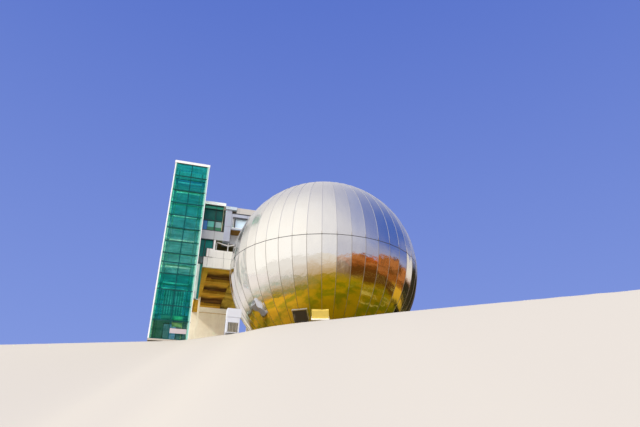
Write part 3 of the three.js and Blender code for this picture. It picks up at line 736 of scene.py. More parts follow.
CAD_FINISHES = (
    (SEAM, "equator_ring"),
    (CONCRETE, "foot_ring ground_slab tower_base"),
    (FLOORING, "dome_floor upper_floor"),
    (BATTEN, "hatch_frame"),
    (GOLD_PAINT, "service_panel"),
    (TRIM, "panel_ledge tower_roof terrace_post front_coping roof_parapet"),
    (WHITE_LEFT, "left_wall"),
    (WHITE_REAR, "rear_wall"),
    (WHITE_RIGHT, "right_wall"),
    (BLUE, "left_glass rear_glass right_glass bay_glass"),
    (EDGE_WHITE, "deck_fascia terrace_parapet"),
    (DARK, "link_frame_lower"),
    (DARK_GREEN, "link_glass"),
    (SPANDREL_PANELS, "front_spandrel"),
    (PIER_PANELS, "front_pier bay_front"),
    (CAP, "pier_cap"),
    (FASCIA, "roof_fascia"),
    (BAY_SOFFIT, "bay_floor"),
    (TERRACE_WALL, "terrace_back_wall"),
    (ROOFING, "roof_slab"),
    (CREAM, "lower_rear_wall lower_rear_pier deck_column_1 deck_column_2"),
)


# Sphere
def skin(latitude, turn, inset):
    """Points on the squashed sphere: the reach goes with the latitude's cosine, the height with its sine."""
    out = (RADIUS - inset) * np.cos(latitude)
    rise = (RISE - inset) * np.sin(latitude)
    return np.stack([out * np.cos(turn), out * np.sin(turn), CENTRE_Z + rise], -1)


def latitude_at(z, inset=0.0):
    """The latitude whose sine brings the skin to a height."""
    return math.asin((z - CENTRE_Z) / (RISE - inset))


def gore(number, low, high, inset, rows, columns=7):
    """One gore: straight across from seam to seam and curved along the meridian.

    Its crown falls off with the square of the distance from the middle. Its waves are sines of the latitude.
    """
    rng = np.random.default_rng(1000 + number)
    half = GORE_ANGLE / 2
    middle = FIRST_SEAM + (number + 0.5) * GORE_ANGLE
    latitude = np.linspace(low, high, rows)[:, None]
    edge = 0.012 / (RADIUS * np.cos(latitude))
    across = np.linspace(-1, 1, columns)[None, :] * (half - edge)
    crown = 1 - (across / half) ** 2
    amount = CAP_WAVE if low >= 0 else BOWL_WAVE
    wave = amount * np.sin(8 * latitude * (1 + 0.2 * rng.random()) + rng.uniform(0, 6.28))
    wave = wave + 0.4 * amount * np.sin(21 * latitude + rng.uniform(0, 6.28)) * np.cos(3 * across / half)
    wave = wave + amount * rng.uniform(-0.7, 0.7) * across / half
    flat = math.cos(half) / np.cos(across)
    drop = inset - crown * (0.004 + wave)
    points = skin(latitude + 0 * across, middle + across + 0 * latitude, drop)
    points[..., :2] *= flat[..., None]
    return points


def gore_panel(number, low, high, rows):
    """A gore as a closed sheet."""
    return thick_sheet(gore(number, low, high, PANEL_INSET, rows),
                       gore(number, low, high, PANEL_INSET + PANEL_THICKNESS, rows))


def shell_seat():
    """The frame of the hatch: across the gores, up the meridian and outwards, at its middle on the sphere."""
    latitude = latitude_at(HATCH_Z)
    out = Vector((math.cos(HATCH_ANGLE), math.sin(HATCH_ANGLE), 0))
    across = Vector((-math.sin(HATCH_ANGLE), math.cos(HATCH_ANGLE), 0))
    up = -math.sin(latitude) * out + math.cos(latitude) * Vector((0, 0, 1))
    seat = Matrix((across, up, across.cross(up))).transposed().to_4x4()
    seat.translation = Vector(skin(latitude, HATCH_ANGLE, 0.0).tolist())
    return seat


def cut_by(target, points, faces):
    """Takes a closed form out of a piece and keeps the result as its mesh."""
    cutter = placed("cutter", new_mesh("cutter", points, np.asarray(faces).tolist()))
    step = target.modifiers.new("opening", "BOOLEAN")
    step.operation, step.solver, step.object = "DIFFERENCE", "EXACT", cutter
    ready = target.evaluated_get(bpy.context.evaluated_depsgraph_get())
    result = bpy.data.meshes.new_from_object(ready)
    target.modifiers.remove(step)
    target.data = result
    bpy.data.objects.remove(cutter)


def sphere_panels():
    """Upper and lower gores. The few that the doorway or the hatch crosses are pieces apart, and are cut."""
    spans = {"upper": (latitude_at(CENTRE_Z + EQUATOR_HALF), math.acos(CROWN_RADIUS / RADIUS), 44),
             "lower": (latitude_at(FOOT_Z), latitude_at(CENTRE_Z - EQUATOR_HALF), 34)}
    openings = {"upper": np.radians((142, 155)), "lower": np.radians((230, 245))}
    for half, (low, high, rows) in spans.items():
        whole, crossed = [], []
        for number in range(GORES):
            start = (FIRST_SEAM + number * GORE_ANGLE) % (2 * math.pi)
            near = start < openings[half][1] and start + GORE_ANGLE > openings[half][0]
            (crossed if near else whole).append(gore_panel(number, low, high, rows))
        replaced = [f"{half}_shell_{i}" for i in range(1, 6)]
        piece(f"sphere_{half}_gores", whole, STEEL, "steel", smooth=True, stands_for=replaced)
        cut = piece(f"sphere_{half}_cut_gores", crossed, STEEL, "steel", smooth=True)
        if half == "upper":
            cut_by(cut, *boxes((-9.5, -5.0, *DOOR_Y, *DOOR_Z)))
        else:
            w, h = HATCH_SIZE
            points, faces = boxes((-w / 2, w / 2, -h / 2, h / 2, -0.5, 0.5))
            seat = np.array(shell_seat())
            cut_by(cut, points @ seat[:3, :3].T + seat[:3, 3], faces)
    for made in bpy.data.objects:
        if made.name.startswith("sphere_") and made.type == "MESH":
            crease = made.modifiers.new("edges", "EDGE_SPLIT")
            crease.split_angle = math.radians(40)


def clear_of_openings(seam, low, high):
    """The stretches of a seam between two latitudes that no opening takes out."""
    reach = RADIUS * math.cos(latitude_at(HATCH_Z))
    gaps = []
    if abs(seam - HATCH_ANGLE) * reach < HATCH_SIZE[0] / 2 + HATCH_EDGE:
        gaps.append((HATCH_Z - HATCH_SIZE[1] / 2 - 0.02, HATCH_Z + HATCH_SIZE[1] / 2 + 0.02))
    y = RADIUS * math.cos(latitude_at(sum(DOOR_Z) / 2)) * math.sin(seam)
    if math.cos(seam) < 0 and DOOR_Y[0] - 0.05 < y < DOOR_Y[1] + 0.05:
        gaps.append((DOOR_Z[0] - 0.02, DOOR_Z[1] + 0.02))
    for gap in gaps:
        foot, head = map(latitude_at, gap)
        if low < foot < high:
            return [(low, foot), (head, high)]
    return [(low, high)]


def seam_battens():
    """A low rounded strip over each seam. Its section is half an ellipse that stands on the panels."""
    section = np.linspace(0, math.pi, 7)
    aside, proud = BATTEN_WIDTH / 2 * np.cos(section), PANEL_INSET * np.sin(section)
    ends = ((latitude_at(FOOT_Z), latitude_at(CENTRE_Z - EQUATOR_HALF - 0.012)),
            (latitude_at(CENTRE_Z + EQUATOR_HALF + 0.012), math.acos((CROWN_RADIUS + 0.03) / RADIUS)))
    for name, (low, high) in zip(("lower", "upper"), ends):
        strips = []
        for number in range(GORES):
            seam = (FIRST_SEAM + number * GORE_ANGLE) % (2 * math.pi)
            shift = aside[:, None] * np.array((math.sin(seam), -math.cos(seam), 0))
            for start, end in clear_of_openings(seam, low, high):
                latitude = np.linspace(start, end, max(4, int((end - start) / 0.04)))[:, None] + 0 * section
                top = skin(latitude, seam + 0 * latitude, PANEL_INSET - proud)
                foot = skin(latitude, seam + 0 * latitude, PANEL_INSET + 0.01)
                strips.append(thick_sheet(top + shift, foot + shift))
        # The lower battens take the darker finish, painted shade.
        metal = BATTEN if name == "upper" else LOWER_BATTEN_PAINTED_SHADE
        piece(f"seam_battens_{name}", strips, metal, "steel", smooth=True)


def sphere_lining():
    """Inner face of the shell: the skin further in, left out where the hatch and the doorway pass through."""
    turn = np.linspace(0, 2 * math.pi, 181)[None, :]
    latitude = np.linspace(latitude_at(FOOT_Z, SHELL), math.pi / 2 - 0.001, 60)[:, None]
    points = skin(latitude + 0 * turn, turn + 0 * latitude, SHELL + 0.03)
    flat, faces = surface(points, flip=True)
    middle = flat[faces].mean(1)
    x, y, z = middle.T
    door = (x < 0) & (y > DOOR_Y[0] - LINING_GAP) & (y < DOOR_Y[1] + LINING_GAP)
    door &= (z > DOOR_Z[0] - LINING_GAP) & (z < DOOR_Z[1] + LINING_GAP)
    seat = np.array(shell_seat().inverted())
    across, up, out = abs(middle @ seat[:3, :3].T + seat[:3, 3]).T
    hatch = (across < 0.66) & (up < 0.6) & (out < 1)
    piece("sphere_lining", [(flat, faces[~(door | hatch)])], LINING, "ring", smooth=True)


def doorway_reveal():
    """Lining of the doorway: a strip round its outline, from the outer skin to the inner one.

    Each corner's x is where the skin's level circle meets the corner's y.
    """
    (y0, y1), (z0, z1) = DOOR_Y, DOOR_Z
    corners = [(y0, z0), (y0, z1), (y1, z1), (y1, z0)]

    def ring(inset, margin):
        """The four corners at a depth in the shell, moved in by a margin."""
        rows = []
        for y, z in corners:
            y += margin if y == y0 else -margin
            z -= margin if z == z1 else 0
            out = (RADIUS - inset) * math.cos(latitude_at(z))
            rows.append((-math.sqrt(out * out - y * y), y, z))
        return np.array(rows)
    outer = np.stack([ring(0.03, 0.0), ring(SHELL, 0.0)])
    inner = np.stack([ring(0.03, 0.04), ring(SHELL, 0.04)])
    piece("doorway_reveal", [thick_sheet(outer, inner)], TRIM, "pale_trim")


def crown():
    """Cap over the top of the gores: a profile turned round the axis, the skin's height plus a raised rim."""
    reach = np.array([CROWN_RADIUS, CROWN_RADIUS, 0.885, 0.86, 0.84, 0.82, 0.6, 0.4, 0.2, 0.0])
    rise = np.array([-0.05, 0.0, 0.012, 0.012, 0.0, -0.008, -0.008, -0.008, -0.008, -0.008])
    height = (CENTRE_Z + RISE * np.sqrt(1 - (reach / RADIUS) ** 2) + rise)[:, None]
    turn, reach = np.linspace(0, 2 * math.pi, 91), reach[:, None]
    points = np.stack([reach * np.cos(turn), reach * np.sin(turn), height + 0 * turn], -1)
    piece("crown_disc", [surface(points)], CROWN, "steel", smooth=True, stands_for=("crown_cap",))


# Lift tower
def on_face(face, along, depth, z):
    """Limits of a bar on a face of the tower: along it, between two depths behind its outer plane, and up."""
    near, far = depth
    (x0, x1), (y0, y1) = TOWER_X, TOWER_Y
    across = {"front": (y0 + near, y0 + far), "back": (y1 - far, y1 - near),
              "left": (x0 + near, x0 + far), "right": (x1 - far, x1 - near)}[face]
    return (*along, *across, *z) if face in ("front", "back") else (*across, *along, *z)


# The tower's faces: their run, and their doors as a span along the face and one up it
FACES = {"front": (TOWER_X, ()), "left": (TOWER_Y, ()),
         "back": (TOWER_X, ((-13.88, -12.68, 0.22, 2.37),)),
         "right": (TOWER_Y, ((3.6, 4.8, 8.3, 10.45), (3.6, 4.8, 11.0, 13.15)))}


def blocked(z0, z1, doors):
    """The doors that a row of panes meets."""
    return [d for d in doors if z1 > d[2] and z0 < d[3]]


def tower_posts():
    """Corner posts, and a slim teal cover strip between each front post and the panes."""
    (x0, x1), (y0, y1) = TOWER_X, TOWER_Y
    posts = [(x, x + POST, y, y + POST, *TOWER_Z) for x in (x0, x1 - POST) for y in (y0, y1 - POST)]
    piece("tower_posts", [boxes(posts)], TRIM, "pale_trim", bevel=0.008)
    levels = tower_levels()
    covers = [(*along, y0 - 0.012, y0 + 0.002, low + 0.012, high - 0.012)
              for low, high in zip(levels, levels[1:])
              for along in ((x0 + 0.11, x0 + POST), (x1 - POST, x1 - 0.07))]
    piece("tower_post_covers", [boxes(covers)], POST_COVER, "teal_glass", bevel=0.003, mirrored=False)


def tower_grid():
    """Dark transoms and a middle mullion on each face, with a clamp at each end of every transom."""
    front, others, clamps = [], [], []
    levels = tower_levels()
    for face, ((low, high), doors) in FACES.items():
        middle = (low + high) / 2
        bars = front if face == "front" else others
        for z in levels:
            z = min(max(z, levels[0] + TRANSOM / 2), levels[-1] - TRANSOM / 2)
            if blocked(z - TRANSOM / 2, z + TRANSOM / 2, doors):
                continue
            bars.append(on_face(face, (low + POST, high - POST), BAR_DEPTH,
                                (z - TRANSOM / 2, z + TRANSOM / 2)))
            if levels[0] + 1 < z < levels[-1] - 1:
                clamps += [on_face(face, (a - CLAMP / 2, a + CLAMP / 2), CLAMP_DEPTH, (z - 0.042, z + 0.042))
                           for a in (low + POST, high - POST)]
        bars += [on_face(face, (middle - MULLION / 2, middle + MULLION / 2), MULLION_DEPTH, row)
                 for row in zip(levels, levels[1:]) if not blocked(*row, doors)]
    piece("tower_front_bars", [boxes(front)], TOWER_FRAME, "dark_frame", bevel=0.006, mirrored=False,
          stands_for=("tower_front_frame",))
    piece("tower_side_bars", [boxes(others)], REAR_FRAME, "dark_frame", bevel=0.006, mirrored=False,
          stands_for=("tower_back_frame", "tower_left_frame", "tower_right_frame"))
    piece("tower_clamps", [boxes(clamps)], TOWER_FRAME, "dark_frame", bevel=0.01, mirrored=False)


def tower_glazing():
    """A pane in each opening of the grid, each turned a hair out of line, and what stands round the doors.

    A pane's points move across it by small angles times their distance from its middle.
    """
    rng = np.random.default_rng(7)
    panes, panels, trims, levels = {}, [], [], tower_levels()
    for face, ((low, high), doors) in FACES.items():
        rows, middle = [], (low + high) / 2
        for z0, z1 in zip(levels, levels[1:]):
            met = blocked(z0, z1, doors)
            if not met:
                rows += [on_face(face, along, PANE_DEPTH, (z0, z1))
                         for along in ((low + POST, middle), (middle, high - POST))]
                continue
            a0, a1, d0, d1 = met[0]
            spans = [(low + POST, a0, z0, z1), (a1, high - POST, z0, z1)]
            spans += [(a0, a1, max(z0, d1), z1)] * (z1 > d1) + [(a0, a1, z0, d0)] * (z0 < d0)
            panels += [on_face(face, s[:2], DOOR_PANEL_DEPTH, s[2:]) for s in spans]
        points, faces = boxes(rows)
        along, across = (0, 1) if face in ("front", "back") else (1, 0)
        panes_apart = points.reshape(-1, 8, 3)
        offset = panes_apart - panes_apart.mean(1, keepdims=True)
        turn, lean = rng.uniform(-0.003, 0.003, (2, len(panes_apart), 1))
        panes_apart[..., across] += offset[..., along] * turn + offset[..., 2] * lean
        panes[face] = (points, faces)
        for a0, a1, d0, d1 in doors:
            trims += [on_face(face, s[:2], DOOR_FRAME_DEPTH, s[2:]) for s in
                      ((a0, a0 + JAMB_WIDTH, d0, d1), (a1 - JAMB_WIDTH, a1, d0, d1),
                       (a0, a1, d1 - JAMB_WIDTH, d1))]
    for face, made in panes.items():
        piece(f"tower_{face}_panes", [made], FRONT_TEAL if face == "front" else BACK_TEAL, "teal_glass",
              mirrored=False, clear=True, stands_for=(f"tower_{face}_glass",))
    piece("tower_door_panels", [boxes(panels)], DOOR_PANELS, "pale_trim", bevel=0.004, mirrored=False)
    piece("tower_door_frames", [boxes(trims)], DARK, "dark_frame", bevel=0.004, mirrored=False)


def lift():
    """The lift's guide rails, the brackets across them, its cabin, and the boards and band at its foot."""
    rails = [(x - 0.04, x + 0.04, GUIDE_Y, GUIDE_Y + 0.09, *TOWER_Z) for x in GUIDE_X]
    brackets = [(*GUIDE_X, GUIDE_Y - 0.05, GUIDE_Y, z, z + 0.14) for z in BRACKETS]
    piece("lift_guide_rails", [boxes(rails)], REAR_FRAME, "dark_frame", bevel=0.004, mirrored=False)
    piece("lift_guide_brackets", [boxes(brackets)], TRIM, "pale_trim", bevel=0.006, mirrored=False)
    x0, x1, y0, y1, z0, z1 = CABIN_BOX
    walls = [(x0, x1, y0, y0 + 0.04, z0, z1), (x0, x1, y1 - 0.04, y1, z0, z1),
             (x0, x0 + 0.04, y0, y1, z0, z1), (x1 - 0.04, x1, y0, y1, z0, z1),
             (x0, x1, y0, y1, z0 - 0.1, z0), (x0, x1, y0, y1, z1, z1 + 0.08)]
    ribs = [(x, x + 0.05, y0 - 0.03, y0, z0, z1) for x in np.linspace(x0, x1 - 0.05, 9)]
    piece("lift_cabin", [boxes(walls)], CABIN, "pale_trim", bevel=0.005, mirrored=False)
    piece("lift_cabin_ribs", [boxes(ribs)], TRIM, "pale_trim", mirrored=False)
    y = TOWER_Y[0] + 0.125
    boards = [(-13.1, -12.3, y, y + 0.03, 1.31, 1.70), (-13.1, -12.35, y, y + 0.03, 1.88, 2.26),
              (-13.14, -13.1, y, y + 0.03, 0.16, 2.3), (-12.3, -12.26, y, y + 0.03, 0.16, 2.3)]
    piece("shaft_boards", [boxes(boards)], SHAFT_BOARDS, "pale_trim", bevel=0.004, mirrored=False)
    band = (-13.24, -11.83, TOWER_Y[0] - 0.03, TOWER_Y[0] - 0.005, 0.70, 1.12)
    piece("foot_band", [boxes([band])], FOOT_BAND, "pale_trim", bevel=0.006, mirrored=False)


# Gallery
def link_glazing():
    """Bars of the link's upper glazing, its frosted panes, boards and jambs, and the strip at its head."""
    x0, x1, y, z0, z1 = -11.589, -9.6, (3.28, 3.479), 11.451, 14.349
    bars = [(x0, x0 + 0.07, *y, z0, z1), (x1 - 0.06, x1, *y, z0, z1), (x0, x1, *y, z0, z0 + 0.07),
            (x0, x1, *y, z1 - 0.07, z1), (x0, x1, 3.30, 3.47, 12.58, 12.65),
            (-10.41, -10.31, 3.30, 3.47, z0, 12.6), (-10.38, -10.345, 3.33, 3.47, 12.6, z1),
            (x0, x1, 3.33, 3.47, 13.90, 13.94)]
    piece("link_upper_bars", [boxes(bars)], DARK, "dark_frame", bevel=0.006, stands_for=("link_frame_upper",))
    infill = [(-11.52, -11.10, *LINK_PANES, 11.53, 12.58), (-11.07, -10.42, *LINK_PANES, 11.93, 12.58),
              (-10.30, -9.70, *LINK_PANES, 11.93, 12.58)]
    piece("link_infill_panes", [boxes(infill)], LINK_INFILL, "teal_glass", bevel=0.004, mirrored=False)
    boards = [(-11.07, -10.42, *LINK_PANES, 11.53, 11.92), (-10.30, -9.70, *LINK_PANES, 11.53, 11.92),
              (-11.52, -9.66, *LINK_PANES, 13.95, 14.27)]
    piece("link_low_boards", [boxes(boards)], LINK_BOARDS, "teal_glass", bevel=0.004, mirrored=False)
    jambs = [(x1 - 0.075, x1 - 0.002, 3.27, 3.4, z0 + 0.1, 12.58),
             (x1 - 0.03, x1 - 0.002, 3.27, 3.4, 12.66, z1 - 0.05)]
    piece("link_jambs", [boxes(jambs)], JAMB, "pale_trim", bevel=0.004)


def terrace_rail():
    """The white rail that dips behind the parapet, and its posts."""
    y = 3.75
    parts = [slanted((-9.93, y, 10.52), (-8.80, y, 10.24), 0.13, 0.06),
             slanted((-8.80, y, 10.24), (-8.20, y, 10.42), 0.12, 0.06),
             boxes([(-8.85, -8.76, y, y + 0.1, 8.31, 10.69), (-9.97, -9.90, y, y + 0.06, 8.31, 10.56)])]
    piece("terrace_rail", parts, TRIM, "pale_trim", bevel=0.01)


def to_sphere(x, y):
    """The x at which a strip that runs to the right stops: short of the sphere, or at the block's side."""
    inside = np.clip(SCRIBE ** 2 - y ** 2, 0, None)
    return np.maximum(x, np.where(y < SCRIBE, -np.sqrt(inside), BLOCK_X[1]))


def plate(x0, y0, y1, z0, z1):
    """A level plate from one x to the sphere's side, its right edge following the round of the sphere."""
    y = np.linspace(y0, y1, int((y1 - y0) / 0.1) + 2)[:, None] + np.zeros(2)
    x = np.stack([np.full(len(y), x0), np.maximum(to_sphere(x0, y[:, 0]), x0 + 0.01)], -1)
    return thick_sheet(np.stack([x, y, z1 + 0 * x], -1), np.stack([x, y, z0 + 0 * x], -1))


def deck():
    """Deck slab and what carries it: edge beams, wide cross beams on haunches, and a plate beside the sphere.

    Behind the last beam a ceiling closes the yard. Each haunch slopes: its low right edge is lifted.
    """
    x0, x1 = BLOCK_X
    back, last = REAR_Y - 0.3, CROSS_BEAMS[-1][1]
    under = (DECK_SOFFIT, BEAM_TOP)

    def below(name, part, material, **kept):
        """One part of the deck, all in the same slot."""
        piece(name, [part], material, "ochre_soffit", **kept)
    below("deck_plate", plate(x0, DECK_FRONT, REAR_Y, *DECK_Z), DECK_CELLS_PAINTED_SHADING, stands_for=("deck_slab",))
    below("deck_edge_strip", boxes([(x0, STRIP_X, DECK_FRONT, REAR_Y, *under)]), EDGE_STRIP, bevel=0.01)
    beams = [(STRIP_X, EDGE_BEAM, DECK_FRONT, REAR_Y), (EDGE_BEAM, x1, back, REAR_Y),
             (EDGE_BEAM, INNER_BEAM, DECK_FRONT, FRONT_BEAM_BACK)]
    beams += [(EDGE_BEAM, INNER_BEAM, *run) for run in CROSS_BEAMS]
    below("deck_beams", boxes([(*b, *under) for b in beams]), SOFFIT, bevel=0.012)
    below("deck_side_plate", plate(INNER_BEAM, SIDE_PLATE_FRONT, last, *under), SIDE_SOFFIT)
    haunches = boxes([(*HAUNCH_X, y - HAUNCH_REACH, y + 0.02, DECK_SOFFIT + 0.04, BEAM_TOP)
                      for y, _ in CROSS_BEAMS])
    x, _, z = haunches[0].T
    z += np.where((x > sum(HAUNCH_X) / 2) & (z < BEAM_TOP), HAUNCH_RISE, 0.0)
    below("beam_haunches", haunches, SOFFIT)
    below("rear_ceiling", plate(EDGE_BEAM, last, back, CEILING_Z, BEAM_TOP), CREAM)


def tower_side_strip():
    """Narrow dark glass that closes the gap between the tower and the block, with a post and a sill."""
    x0, x1, y, low, step, head = -11.588, -11.105, (3.40, 3.45), 4.35, 7.6, 7.905
    panes = [(x0, x1, *y, low, step), (x0, -11.062, *y, step, head)]
    piece("side_strip_glass", [boxes(panes)], DARK_GREEN, "teal_glass", mirrored=False)
    posts = [(x0, x0 + 0.27, 3.37, 3.48, low, head), (x0, x1, 3.37, 3.48, low, low + 0.06)]
    piece("side_strip_posts", [boxes(posts)], TRIM, "pale_trim", bevel=0.005)


def window_frames():
    """Frames of the side and rear windows: an outer frame and a middle bar, set back from the wall's face."""
    walls = {"left": (0, BLOCK_X[0] + 0.05, LINK_REAR, REAR_Y - WALL, 4),
             "rear": (1, REAR_Y - 0.12, BLOCK_X[0] + WALL, BLOCK_X[1] - WALL, 3),
             "right": (0, BLOCK_X[1] - 0.12, 10.5, REAR_Y - WALL, 2)}
    for name, (axis, face, low, high, count) in walls.items():
        rows = []
        for middle in low + (np.arange(count) + 0.5) * (high - low) / count:
            a0, a1 = middle - WINDOW_WIDTH / 2, middle + WINDOW_WIDTH / 2
            for z0, z1 in WINDOW_ROWS:
                rows += [(a0, a0 + 0.06, z0, z1), (a1 - 0.06, a1, z0, z1), (a0, a1, z0, z0 + 0.06),
                         (a0, a1, z1 - 0.06, z1), (middle - 0.03, middle + 0.03, z0, z1)]
        limits = [(face, face + 0.07, *r) if axis == 0 else (*r[:2], face, face + 0.07, *r[2:]) for r in rows]
        piece(f"{name}_window_frames", [boxes(limits)], DARK, "dark_frame", bevel=0.006)


def bay_trim():
    """Bars of the bay window, painted shadow lines at its head and under the roof fascia, and dark strips in
    and beside its left light.
    """
    bars = [(-8.54, -8.50, 3.30, 3.46, 12.06, 13.3), (-8.64, -8.61, 3.34, 3.44, 12.06, 13.3),
            (-8.64, -6.9, 3.27, 3.44, 12.05, 12.11), (-8.345, -8.325, 3.30, 3.44, 12.1, 13.1)]
    piece("bay_window_bars", [boxes(bars)], TRIM, "pale_trim", bevel=0.006)
    # Painted shadow lines at the window head and under the fascia, and two dark strips in and beside the left
    # light.
    shade = [(-8.64, -5.6, 3.29, 3.34, 13.12, 13.30), (-8.74, -5.6, 3.245, 3.279, 13.64, 13.70),
             (-8.41, -8.345, 3.272, 3.2795, 12.1, 13.3), (-8.61, -8.40, 3.44, 3.46, 12.1, 13.2)]
    piece("bay_shades", [boxes(shade)], BAY_DARK_AND_SHADOW, "dark_frame")


# Condenser
def condenser():
    """Cabinet with a wide hood above, a slatted grille low at its front and back, fins and a fan guard.

    The fins are a ring of faces whose depth goes in and out from row to row. The guard's wires are tori.
    """
    (x0, x1), (y0, y1), (z0, z1) = CABINET_X, CABINET_Y, CABINET_Z
    b0, b1, c0, c1 = x0 + 0.02, x1 - 0.09, y0 + 0.03, y1 - 0.03
    side_z = (z0 + 0.05, GRILLE_TOP)
    shell = [(x0, x1, y0, y1, HOOD_Z, z1 - 0.04), (x0 + 0.03, x1 - 0.03, c0, c1, z1 - 0.04, z1 - 0.02),
             (b0, b1, c0, c1, GRILLE_TOP, HOOD_Z), (b0, b0 + 0.12, c0, c1, *side_z),
             (b1 - 0.12, b1, c0, c1, *side_z), (b0, b1, c0, c1, z0 + 0.03, z0 + 0.09)]
    feet = [(x, x + 0.1, y, y + 0.1, z0, z0 + 0.04)
            for x in (b0 + 0.05, b1 - 0.15) for y in (c0 + 0.05, c1 - 0.15)]
    piece("condenser_cabinet", [boxes(shell + feet)], CABINET_PAINT, "grey_case", bevel=0.012,
          stands_for=("condenser_case", "condenser_plinth"))
    heights = np.linspace(z0 + 0.09, GRILLE_TOP, 65)[:, None]
    depth = 0.06 + 0.025 * (np.arange(65)[:, None] % 2)
    ring = np.array([(0, 0), (1, 0), (1, 1), (0, 1), (0, 0)], float)
    x = b0 + 0.12 + (b1 - b0 - 0.24) * ring[:, 0] + 0 * depth
    y = c0 + depth + (c1 - c0 - 2 * depth) * ring[:, 1]
    piece("condenser_fins", [surface(np.stack([x, y, heights + 0 * x], -1))], FINS, "grey_case")
    slats = [(b0 + 0.12, b1 - 0.12, y, y + 0.035, z, z + 0.026)
             for z in np.arange(z0 + 0.13, GRILLE_TOP - 0.03, SLAT_PITCH) for y in (c0 + 0.008, c1 - 0.043)]
    slats += [(x - 0.012, x + 0.012, y, y + 0.02, z0 + 0.09, GRILLE_TOP)
              for x in np.linspace(b0 + 0.26, b1 - 0.26, 3) for y in (c0 + 0.002, c1 - 0.022)]
    piece("condenser_slats", [boxes(slats)], SLATS, "grey_case", bevel=0.003)
    turn, tube = np.linspace(0, 2 * math.pi, 41), np.linspace(0, 2 * math.pi, 9)[:, None]
    rings = []
    for radius in GUARD_RADII:
        reach = radius + GUARD_WIRE * np.cos(tube)
        points = np.stack([(x0 + x1) / 2 + reach * np.cos(turn), (y0 + y1) / 2 + reach * np.sin(turn),
                           z1 - 0.0105 + GUARD_WIRE * np.sin(tube) + 0 * turn], -1)
        rings.append(surface(points, flip=True))
    piece("condenser_fan_guard", rings, DARK, "grey_case", smooth=True)


# Setting
def ground():
    """Pale ground round the building that falls away in front of it, to below the camera.

    The height is minus the slope times a softened step: nothing behind the brow, straight down before it.
    """
    steps = np.concatenate([-np.geomspace(400, 12, 30), np.linspace(-11, 11, 89), np.geomspace(12, 400, 30)])
    depths = np.concatenate([np.linspace(-60, 25, 60), np.linspace(25.5, 60, 280), np.geomspace(61, 600, 40)])
    u, v = np.meshgrid(steps, depths)
    brow = np.mean([np.interp(u + aside, BROW[:, 0], BROW[:, 1]) for aside in np.linspace(-1, 1, 9)], axis=0)
    fall = SLOPE * BROW_ROUND * np.logaddexp(0, (brow - v) / BROW_ROUND)
    plan = EYE[:2] + u[..., None] * RIGHT[:2] + v[..., None] * HEADING[:2]
    points = np.concatenate([plan, -fall[..., None] - 0.002], -1)
    flat, faces = surface(points)
    mesh = new_mesh("ground", flat, faces.tolist(), smooth=True)
    mesh.materials.append(pale_ground())
    placed("ground", mesh)


def side(g, way, towards, start, end):
    """How far a direction leans towards another one, between two cosines."""
    return g.spread(g.vector("DOT_PRODUCT", way, towards), start, end, smooth=True)


def low_surround(g, way, dip):
    """What the steel mirrors below the horizon: gold near by, straw to the left, dark brown to the right.

    The dip is how steeply it is looked down on, as a tangent.
    """
    def by_dip(*stops):
        """A ramp over the dip."""
        return g.ramp(dip, stops)
    left = by_dip((0.15, PALE_WARM), (0.35, HAZE), (0.54, PALE_STRAW), (0.75, STRAW), (1.1, STRAW_GOLD),
                  (2.4, AMBER))
    front = by_dip((0.07, HAZE), (0.22, PALE_STRAW), (0.35, STRAW), (0.46, STRAW_GOLD), (0.57, GOLD),
                   (1.2, GOLD))
    right = by_dip((0.04, PALE_RUST), (0.11, RUST), (0.16, DARK_BROWN), (0.32, DARK_BROWN), (0.52, GOLD))
    mixed = g.mix(side(g, way, LEFT_WAY, 0.1, 0.85), front, left)
    mixed = g.mix(side(g, way, RIGHT_WAY, 0.0, 0.55), mixed, right)
    far_right = by_dip((0.1, RUST), (0.15, AMBER), (0.4, AMBER), (0.55, NEAR_BLACK))
    mixed = g.mix(side(g, way, GLOW_WAY, 0.925, 0.955), mixed, far_right)
    return g.mix(side(g, way, SHADE_WAY, 0.93, 0.97), mixed, NEAR_BLACK)


def pale_ground():
    """Plain pale where it is seen. In the steel it is gold, straw and olive, with a wandering pale line."""
    f = Finish("pale_ground", roughness=0.95, Specular_IOR_Level=0.0)
    level = f.stretched(f.place, (1.0, 1.0, 0.0))
    way = f.vector("NORMALIZE", level)
    reach = f.most(f.minus(f.vector("LENGTH", level), FOOT_REACH), 1.0)
    dip = f.over(f.minus(EYE_LEVEL, f.xyz()[2]), reach)
    dip = f.times(dip, f.spread(f.noise(f.place, 0.3, 5.0, 0.65), 0.3, 0.7, 0.75, 1.3))
    mixed = low_surround(f, way, dip)
    patches = f.spread(f.noise(f.place, 0.35, 4.0, 0.7), 0.46, 0.56)
    mixed = f.mix(f.times(patches, f.spread(dip, 0.25, 0.45)), mixed, f.tinted(mixed, OLIVE_TINT))
    off_line = f.math("ABSOLUTE", f.minus(f.noise(f.place, 0.10, 3.0), 0.5))
    line = f.times(f.spread(off_line, 0.008, 0.003), side(f, way, RIGHT_WAY, 0.2, 0.5))
    mixed = f.mix(f.times(line, 0.7), mixed, PALE_GOLD)
    path = f.light_path()
    mirrored = f.times(path["Is Glossy Ray"], f.minus(1.0, path["Is Transmission Ray"]))
    return f.set(Base_Color=f.mix(mirrored, GROUND_SEEN, f.tinted(mixed, (GROUND_DIMMING,) * 3)))


def seen_directly(g):
    """One where the camera sees a thing straight or through glass, nothing in reflections and as light."""
    path = g.light_path()
    unreflected = g.is_below(path["Glossy Depth"], 0.5)
    return g.most(path["Is Camera Ray"], g.times(path["Is Transmission Ray"], unreflected))


